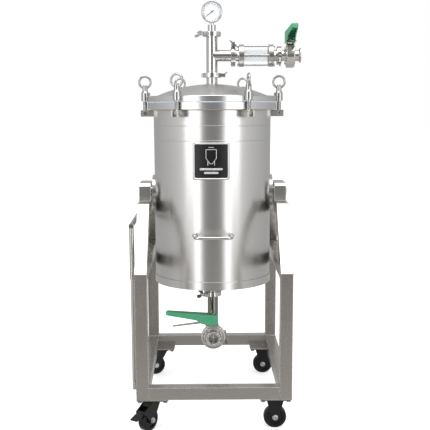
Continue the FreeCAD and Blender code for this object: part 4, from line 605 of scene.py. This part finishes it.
PLATE_LOW, PLATE_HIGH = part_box("name_plate")
PLATE_RADIUS = VESSEL.y - PLATE_LOW.y
PLATE_BORDER = 6 * MM
PLATE_BARS = ((-26 * MM, 38 * MM), (-38 * MM, 24 * MM))         # height from the middle, half length
PICTOGRAM = ((-17, 38), (17, 38), (17, 10), (4, -8), (-4, -8), (-17, 10))       # millimetres from the middle
PICTOGRAM_LINES = (((-11, 2), (-11, -14)), ((11, 2), (11, -14)), ((-9, 45), (9, 45)))
PICTOGRAM_WIRE = 1.3 * MM


def on_plate(x, z, lift):
    """A point over the name plate, which follows the wall's curve."""
    radius = PLATE_RADIUS + lift
    return Vector((x, VESSEL.y - math.sqrt(radius ** 2 - (x - VESSEL.x) ** 2), z))


def rounded_loop(x, z, half_x, half_z, corner):
    """Points round a rectangle with rounded corners."""
    loop = []
    for turn, (side_x, side_z) in enumerate(((1, 1), (-1, 1), (-1, -1), (1, -1))):
        corner_x, corner_z = x + side_x * (half_x - corner), z + side_z * (half_z - corner)
        for step in range(9):
            angle = math.pi / 2 * (turn + step / 8)
            loop.append((corner_x + corner * math.cos(angle), corner_z + corner * math.sin(angle)))
        following = ((-1, 1), (-1, -1), (1, -1), (1, 1))[turn]
        next_x, next_z = x + following[0] * (half_x - corner), z + following[1] * (half_z - corner)
        next_angle = math.pi / 2 * (turn + 1)
        next_x, next_z = next_x + corner * math.cos(next_angle), next_z + corner * math.sin(next_angle)
        last_x, last_z = loop[-1]
        for step in range(1, 24):
            share = step / 24
            loop.append((last_x + (next_x - last_x) * share, last_z + (next_z - last_z) * share))
    return loop


def raised(outer, inner, rise):
    """A band between two loops, raised from the name plate."""
    count = len(outer)
    vertices = []
    for lift in (-0.1 * MM, rise):
        for loop in (outer, inner):
            vertices += [on_plate(x, z, lift) for x, z in loop]
    faces = []
    for index in range(count):
        other = (index + 1) % count
        faces.append((2 * count + index, 2 * count + other, 3 * count + other, 3 * count + index))
        faces.append((index, other, 2 * count + other, 2 * count + index))
        faces.append((count + other, count + index, 3 * count + index, 3 * count + other))
        faces.append((count + index, count + other, other, index))
    return vertices, faces


def name_plate():
    """A bright border, a plain pictogram of a vessel and two plain bars."""
    x, z = (PLATE_LOW.x + PLATE_HIGH.x) / 2, (PLATE_LOW.z + PLATE_HIGH.z) / 2
    half_x, half_z = (PLATE_HIGH.x - PLATE_LOW.x) / 2, (PLATE_HIGH.z - PLATE_LOW.z) / 2
    parts = [raised(rounded_loop(x, z, half_x - 0.3 * MM, half_z - 0.3 * MM, 9 * MM),
                    rounded_loop(x, z, half_x - PLATE_BORDER, half_z - PLATE_BORDER, 5 * MM), 0.5 * MM)]
    for height, half in PLATE_BARS:
        parts.append(raised(rounded_loop(x, z + height, half, 3.4 * MM, 3 * MM),
                            rounded_loop(x, z + height, half - 3.2 * MM, 0.2 * MM, 0.1 * MM), 0.4 * MM))
    corners = [Vector((x + across_mm * MM, 0, z + up_mm * MM)) for across_mm, up_mm in PICTOGRAM]
    path = [on_plate(point.x, point.z, 0.1 * MM) for point in spaced(corners, 2 * MM, closed=True)]
    parts.append(tube(path, PICTOGRAM_WIRE, closed=True))
    for foot, head in PICTOGRAM_LINES:
        ends = [on_plate(x + point[0] * MM, z + point[1] * MM, 0.1 * MM) for point in (foot, head)]
        parts.append(tube(spaced(ends, 2 * MM), PICTOGRAM_WIRE))
    piece("name_plate_marks", *joined(parts), "tank", "plate_silver", "plate_black")


name_plate()


# ---------------------------------------------------------------- gauge

DIAL_START = 218.5      # degrees, where the needle rests, anticlockwise from the right
DIAL_SWEEP = 257.0
DIAL_TICKS = 50
TICK_END = 29 * MM
LONG_TICK = (25 * MM, 0.35 * MM)        # inner end, half width
SHORT_TICK = (27 * MM, 0.18 * MM)
NUMBER_RADIUS = 17.5 * MM
NUMBER_SIZE = 4.5 * MM


def dial_point(degrees, radius, front):
    """A point on the dial, at an angle anticlockwise from the right."""
    turn = math.radians(degrees)
    centre = middle("gauge_case")
    return Vector((centre.x + radius * math.cos(turn), front, centre.z + radius * math.sin(turn)))


def dial_marks():
    """Ticks and numbers round the dial."""
    centre = middle("gauge_case")
    met = caster("gauge_dial")(Vector((centre.x + 24 * MM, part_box("gauge_dial")[0].y - 1 * MM, centre.z)), Y_AXIS)
    front = met.y
    parts = []
    for index in range(DIAL_TICKS + 1):
        degrees = DIAL_START - DIAL_SWEEP * index / DIAL_TICKS
        inner, half = SHORT_TICK if index % 5 else LONG_TICK
        along = dial_point(degrees, 1.0, 0) - dial_point(degrees, 0.0, 0)
        sideways = along.cross(Y_AXIS).normalized() * half
        vertices = []
        for depth in (front - 0.12 * MM, front + 0.1 * MM):
            for radius, side in ((inner, -1), (inner, 1), (TICK_END, 1), (TICK_END, -1)):
                vertices.append(dial_point(degrees, radius, depth) + sideways * side)
        faces = [(0, 1, 2, 3), (7, 6, 5, 4), (0, 4, 5, 1), (1, 5, 6, 2), (2, 6, 7, 3), (3, 7, 4, 0)]
        parts.append((vertices, faces))
    for number in range(0, 11, 2):
        letter = bpy.data.curves.new(f"dial_number_{number}", "FONT")
        letter.body = str(number)
        letter.size = NUMBER_SIZE
        letter.align_x = "CENTER"
        letter.align_y = "CENTER"
        letter.extrude = 0.1 * MM
        holder = bpy.data.objects.new(letter.name, letter)
        mesh = bpy.data.meshes.new_from_object(holder)
        place = Matrix.Translation(dial_point(DIAL_START - DIAL_SWEEP * number / 10, NUMBER_RADIUS, front))
        mesh.transform(place @ Matrix.Rotation(math.pi / 2, 4, "X"))
        corners = [vertex.co.copy() for vertex in mesh.vertices]
        parts.append((corners, [tuple(face.vertices) for face in mesh.polygons]))
        bpy.data.objects.remove(holder)
    piece("dial_marks", *joined(parts), "tank", "needle_black", smooth=False)


def gauge_bezel():
    """The rolled ring that holds the gauge's window."""
    low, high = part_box("gauge_case")
    radius = (high.x - low.x) / 2
    window = half_size("gauge_window").x
    outline = [(window - 1.5 * MM, 0.6 * MM), (window - 0.5 * MM, -0.8 * MM), (window + 1 * MM, -1.4 * MM),
               (radius - 0.4 * MM, -0.9 * MM), (radius + 0.5 * MM, 0.8 * MM), (radius + 0.5 * MM, 5 * MM),
               (radius - 0.2 * MM, 5.6 * MM), (radius - 0.4 * MM, 0.4 * MM)]
    centre = middle("gauge_case")
    piece("gauge_bezel", *turned(outline, Vector((centre.x, low.y, centre.z)), Y_AXIS), "tank", "polished_steel")


dial_marks()
gauge_bezel()


# ---------------------------------------------------------------- casters, pedals and handles

WHEEL_HALF = 13 * MM
PEDAL_RIBS = (22 * MM, 26 * MM, 30 * MM)        # along the pedal
GRIP_RIBS = tuple((84 + 5 * step) * MM for step in range(14))   # along the handle
WHEEL_RIMS = ((27 * MM, 31 * MM), (8 * MM, 12 * MM))
AXLE_WASHER = ((1 * MM, 18.5 * MM), (9.5 * MM, 18.5 * MM), (9.5 * MM, 19.8 * MM), (1 * MM, 19.8 * MM))
AXLE_NUT_FOOT, AXLE_NUT_RADIUS, AXLE_NUT_HEIGHT = 19.6 * MM, 8.4 * MM, 5.4 * MM
VALVE_RINGS = (         # radius, distance along the axis and wire radius, millimetres
    (38.2, 13.2, 1.5), (30.0, 13.4, 1.6), (23.6, 36.4, 1.0), (18.6, 36.5, 0.9))


def wheel_faces():
    """Raised rims and hub rings on both faces of each wheel."""
    for end in ("front", "rear"):
        for side in ("left", "right"):
            name = f"wheel_{end}_{side}"
            centre, axis = joint_place(f"{name}_roll"), joint_axis(f"{name}_roll")
            parts = []
            for face in (-1, 1):
                for inner, outer in WHEEL_RIMS:
                    foot, top = face * (WHEEL_HALF - 0.3 * MM), face * (WHEEL_HALF + 0.8 * MM)
                    outline = [(inner, foot), (inner + 0.7 * MM, top), (outer - 0.7 * MM, top), (outer, foot)]
                    parts.append(turned(outline, centre, axis, 64))
            piece(f"{name}_rims", *joined(parts), name, "wheel_black")


def ribs(name, node, body, origin, heading, distances, half_width, radius, finish_name):
    """Low ribs across the top of a node, at distances along its heading."""
    cast = caster(node)
    sideways = heading.cross(Z_AXIS).normalized()
    parts = []
    for distance in distances:
        path = []
        for step in range(7):
            spot = origin + heading * distance + sideways * half_width * (step / 3 - 1)
            met = cast(Vector((spot.x, spot.y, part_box(node)[1].z + 5 * MM)), -Z_AXIS)
            if met:
                path.append(met)
        if len(path) > 1:
            parts.append(tube(path, radius))
    piece(name, *joined(parts), body, finish_name)


def grips():
    """Ribs on the brake pedals and raised pads on the valve handles."""
    for end in ("front", "rear"):
        swivel, pedal = joint_place(f"swivel_{end}"), joint_place(f"brake_{end}_press")
        heading = Vector((pedal.x - swivel.x, pedal.y - swivel.y, 0.0)).normalized()
        ribs(f"pedal_ribs_{end}", f"brake_pedal_{end}", f"brake_pedal_{end}", pedal, heading,
             PEDAL_RIBS, 11 * MM, 0.7 * MM, "caster_steel")
    for level, heading in (("upper", -Y_AXIS), ("lower", -X_AXIS)):
        ribs(f"{level}_grip_ribs", f"{level}_valve_handle", f"{level}_valve",
             joint_place(f"{level}_valve_turn"), heading, GRIP_RIBS, 7 * MM, 0.8 * MM, "handle_green")


def hexagon(centre, axis, radius, height):
    """A hexagonal nut with bevelled corners, from centre along axis."""
    first, second = across(axis)
    vertices, faces = [], []
    rows = ((radius * 0.86, 0.0), (radius, 0.0), (radius, height * 0.85), (radius * 0.86, height))
    for size, rise in rows:
        for corner in range(6):
            turn = math.pi / 3 * corner
            vertices.append(centre + axis * rise + size * (first * math.cos(turn) + second * math.sin(turn)))
    for row in range(len(rows) - 1):
        for corner in range(6):
            other = (corner + 1) % 6
            start, end = row * 6, row * 6 + 6
            faces.append((start + corner, start + other, end + other, end + corner))
    faces.append(tuple(range(5, -1, -1)))
    faces.append(tuple(range(18, 24)))
    return vertices, faces


def axle_nuts():
    """Bright nuts and washers on the casters' axles."""
    for end in ("front", "rear"):
        for side, body in (("left", f"swivel_fork_{end}"), ("right", "frame")):
            name = f"wheel_{end}_{side}_roll"
            centre, axis = joint_place(name), joint_axis(name)
            parts = []
            for face in (-1, 1):
                out = axis * face
                parts.append(turned(AXLE_WASHER, centre, out, 32))
                parts.append(hexagon(centre + out * AXLE_NUT_FOOT, out, AXLE_NUT_RADIUS, AXLE_NUT_HEIGHT))
            piece(f"axle_nuts_{end}_{side}", *joined(parts), body, "zinc_steel", "caster_steel", smooth=False)


def valve_rings():
    """Turned rings on the valves' faces."""
    for level, axis in (("upper", X_AXIS), ("lower", -Y_AXIS)):
        centre = joint_place(f"{level}_valve_turn")
        parts = []
        for radius, along, wire in VALVE_RINGS:
            parts.append(tube(ring_path(centre + axis * along * MM, radius * MM, axis, 72), wire * MM, True, 10))
        piece(f"{level}_valve_rings", *joined(parts), "tank", "valve_steel", "polished_steel")


wheel_faces()
grips()
axle_nuts()
valve_rings()


# ---------------------------------------------------------------- studio and camera

FLOOR_SIDE = 60.0
FLOOR_COLOUR = (0.93, 0.93, 0.93)
FLOOR_GLOW = 0.5


def studio_floor():
    """A plain pale floor, which shiny faces don't mirror."""
    material, tree, shader = finish("floor_white")
    mottle = tree.noise(tree.place(), (2.0, 2.0, 2.0), detail=3.0)
    tree.link(tree.tint(mottle, scaled(FLOOR_COLOUR, 0.995), FLOOR_COLOUR), shader.inputs["Base Color"])
    shader.inputs["Roughness"].default_value = 0.9
    shader.inputs["Specular IOR Level"].default_value = 0.1
    shader.inputs["Emission Color"].default_value = (1.0, 1.0, 1.0, 1.0)
    shader.inputs["Emission Strength"].default_value = FLOOR_GLOW
    side = FLOOR_SIDE / 2
    corners = [(-side, -side, 0.0), (side, -side, 0.0), (side, side, 0.0), (-side, side, 0.0)]
    mesh = bpy.data.meshes.new("floor")
    mesh.from_pydata(corners, [], [(0, 1, 2, 3)])
    floor = bpy.data.objects.new("floor", mesh)
    bpy.context.scene.collection.objects.link(floor)
    floor.data.materials.append(material)
    floor.visible_glossy = False


def ramp(tree, value, stops):
    """A colour that changes with a value, through (place, grey, warmth) stops."""
    node = tree.node("ShaderNodeValToRGB")
    while len(node.color_ramp.elements) < len(stops):
        node.color_ramp.elements.new(0.5)
    for element, (place, grey, warmth) in zip(node.color_ramp.elements, stops):
        element.position = place
        element.color = (grey * (1 + warmth), grey, grey * (1 - warmth), 1.0)
    tree.link(value, node.inputs["Fac"])
    return node.outputs["Color"]


ROUND = (       # level with the eye, from in front (0) to behind (1): brightness and warmth of the room
    (0.0, 0.20, 0.02), (0.06, 0.22, 0.02), (0.24, 1.02, 0.0), (0.31, 0.96, 0.0), (0.40, 0.89, 0.0), (0.48, 0.82, 0.0),
    (0.58, 0.74, 0.0), (0.69, 0.66, 0.0), (0.81, 0.56, 0.0), (1.0, 0.45, 0.0))
BELOW = (       # a little below the eye
    (0.0, 0.15, 0.06), (0.08, 0.17, 0.06), (0.15, 0.76, 0.03), (0.25, 0.80, 0.02), (0.37, 0.66, 0.02),
    (0.5, 0.56, 0.02), (1.0, 0.50, 0.02))
DEEP = (        # towards the floor
    (0.0, 0.60, 0.04), (0.3, 0.56, 0.04), (0.6, 0.48, 0.03), (1.0, 0.5, 0.02))
ABOVE = (       # towards the ceiling
    (0.0, 0.7, 0.0), (0.5, 0.8, 0.0), (0.8, 0.66, 0.0), (1.0, 0.62, 0.0))


def studio_room():
    """The room that lights and reflects; the camera sees plain white behind the object."""
    world = bpy.data.worlds.new("studio")
    bpy.context.scene.world = world
    world.use_nodes = True
    tree = Tree(world.node_tree)
    direction = tree.node("ShaderNodeTexCoord").outputs["Generated"]
    split = tree.node("ShaderNodeSeparateXYZ")
    tree.link(direction, split.inputs["Vector"])
    along = tree.spread(split.outputs["Y"], 0.0, 1.0, -1.0, 1.0)
    up = tree.spread(split.outputs["Z"], 0.0, 1.0, 0.15, 0.6)
    down = tree.spread(split.outputs["Z"], 0.0, 1.0, -0.02, -0.2)
    lower = tree.node("ShaderNodeMix", data_type="RGBA")
    tree.link(down, lower.inputs[0])
    tree.link(ramp(tree, along, ROUND), lower.inputs[6])
    tree.link(ramp(tree, along, BELOW), lower.inputs[7])
    floorward = tree.node("ShaderNodeMix", data_type="RGBA")
    tree.link(tree.spread(split.outputs["Z"], 0.0, 1.0, -0.21, -0.36), floorward.inputs[0])
    tree.link(lower.outputs[2], floorward.inputs[6])
    tree.link(ramp(tree, along, DEEP), floorward.inputs[7])
    upper = tree.node("ShaderNodeMix", data_type="RGBA")
    tree.link(up, upper.inputs[0])
    tree.link(floorward.outputs[2], upper.inputs[6])
    tree.link(ramp(tree, along, ABOVE), upper.inputs[7])
    room = tree.node("ShaderNodeBackground")
    tree.link(upper.outputs[2], room.inputs["Color"])
    backdrop = tree.node("ShaderNodeBackground")
    backdrop.inputs["Color"].default_value = (1.0, 1.0, 1.0, 1.0)
    seen = tree.node("ShaderNodeLightPath").outputs["Is Camera Ray"]
    mix = tree.node("ShaderNodeMixShader")
    tree.link(seen, mix.inputs["Fac"])
    tree.link(room.outputs["Background"], mix.inputs[1])
    tree.link(backdrop.outputs["Background"], mix.inputs[2])
    output = tree.node("ShaderNodeOutputWorld")
    tree.link(mix.outputs["Shader"], output.inputs["Surface"])


def softbox(name, azimuth, elevation, distance, width, height, radiance, target):
    """A rectangular light that faces the target. Azimuth 0 is in front, and 90 to the right."""
    turn, rise = math.radians(azimuth), math.radians(elevation)
    out = Vector((math.sin(turn) * math.cos(rise), -math.cos(turn) * math.cos(rise), math.sin(rise)))
    data = bpy.data.lights.new(name, "AREA")
    data.shape = "RECTANGLE"
    data.size = width
    data.size_y = height
    data.energy = radiance * math.pi * width * height
    made = bpy.data.objects.new(name, data)
    bpy.context.scene.collection.objects.link(made)
    made.location = target + out * distance
    made.rotation_euler = out.to_track_quat("Z", "Y").to_euler()


def studio_lights():
    heart = Vector((VESSEL.x, VESSEL.y, VESSEL.z))
    for side, name in ((-1, "left"), (1, "right")):
        softbox(f"{name}_strip", side * 28.5, 0.0, 3.2, 0.70, 3.4, 2.3, heart)
        softbox(f"{name}_softbox", side * 43.5, 13.0, 3.2, 1.0, 1.9, 2.3, heart)
    softbox("top_softbox", 0.0, 72.0, 2.9, 3.0, 2.4, 2.6, heart)


CAMERA_DISTANCE = 2.8751
CAMERA_HEIGHT = 1.0377
CAMERA_PITCH = 0.1579       # radians below level
CAMERA_YAW = 0.0110
CAMERA_ROLL = -0.0037
CAMERA_LENS = 68.445
CAMERA_SHIFT = (0.0056, 0.06)


def studio_camera():
    """The camera stands in front of the vessel's axis and looks a little down."""
    data = bpy.data.cameras.new("camera")
    data.lens = CAMERA_LENS
    data.sensor_width = 36.0
    data.shift_x, data.shift_y = CAMERA_SHIFT
    camera = bpy.data.objects.new("camera", data)
    bpy.context.scene.collection.objects.link(camera)
    back = Vector((-math.sin(CAMERA_YAW), -math.cos(CAMERA_YAW), 0.0)) * CAMERA_DISTANCE
    place = Matrix.Translation(Vector((VESSEL.x, VESSEL.y, CAMERA_HEIGHT)) + back)
    turn = Matrix.Rotation(-CAMERA_YAW, 4, "Z") @ Matrix.Rotation(math.pi / 2 - CAMERA_PITCH, 4, "X")
    camera.matrix_world = place @ turn @ Matrix.Rotation(CAMERA_ROLL, 4, "Z")
    bpy.context.scene.camera = camera


studio_floor()
studio_room()
studio_lights()
studio_camera()
bpy.context.scene.view_settings.view_transform = "Standard"
bpy.context.view_layer.update()
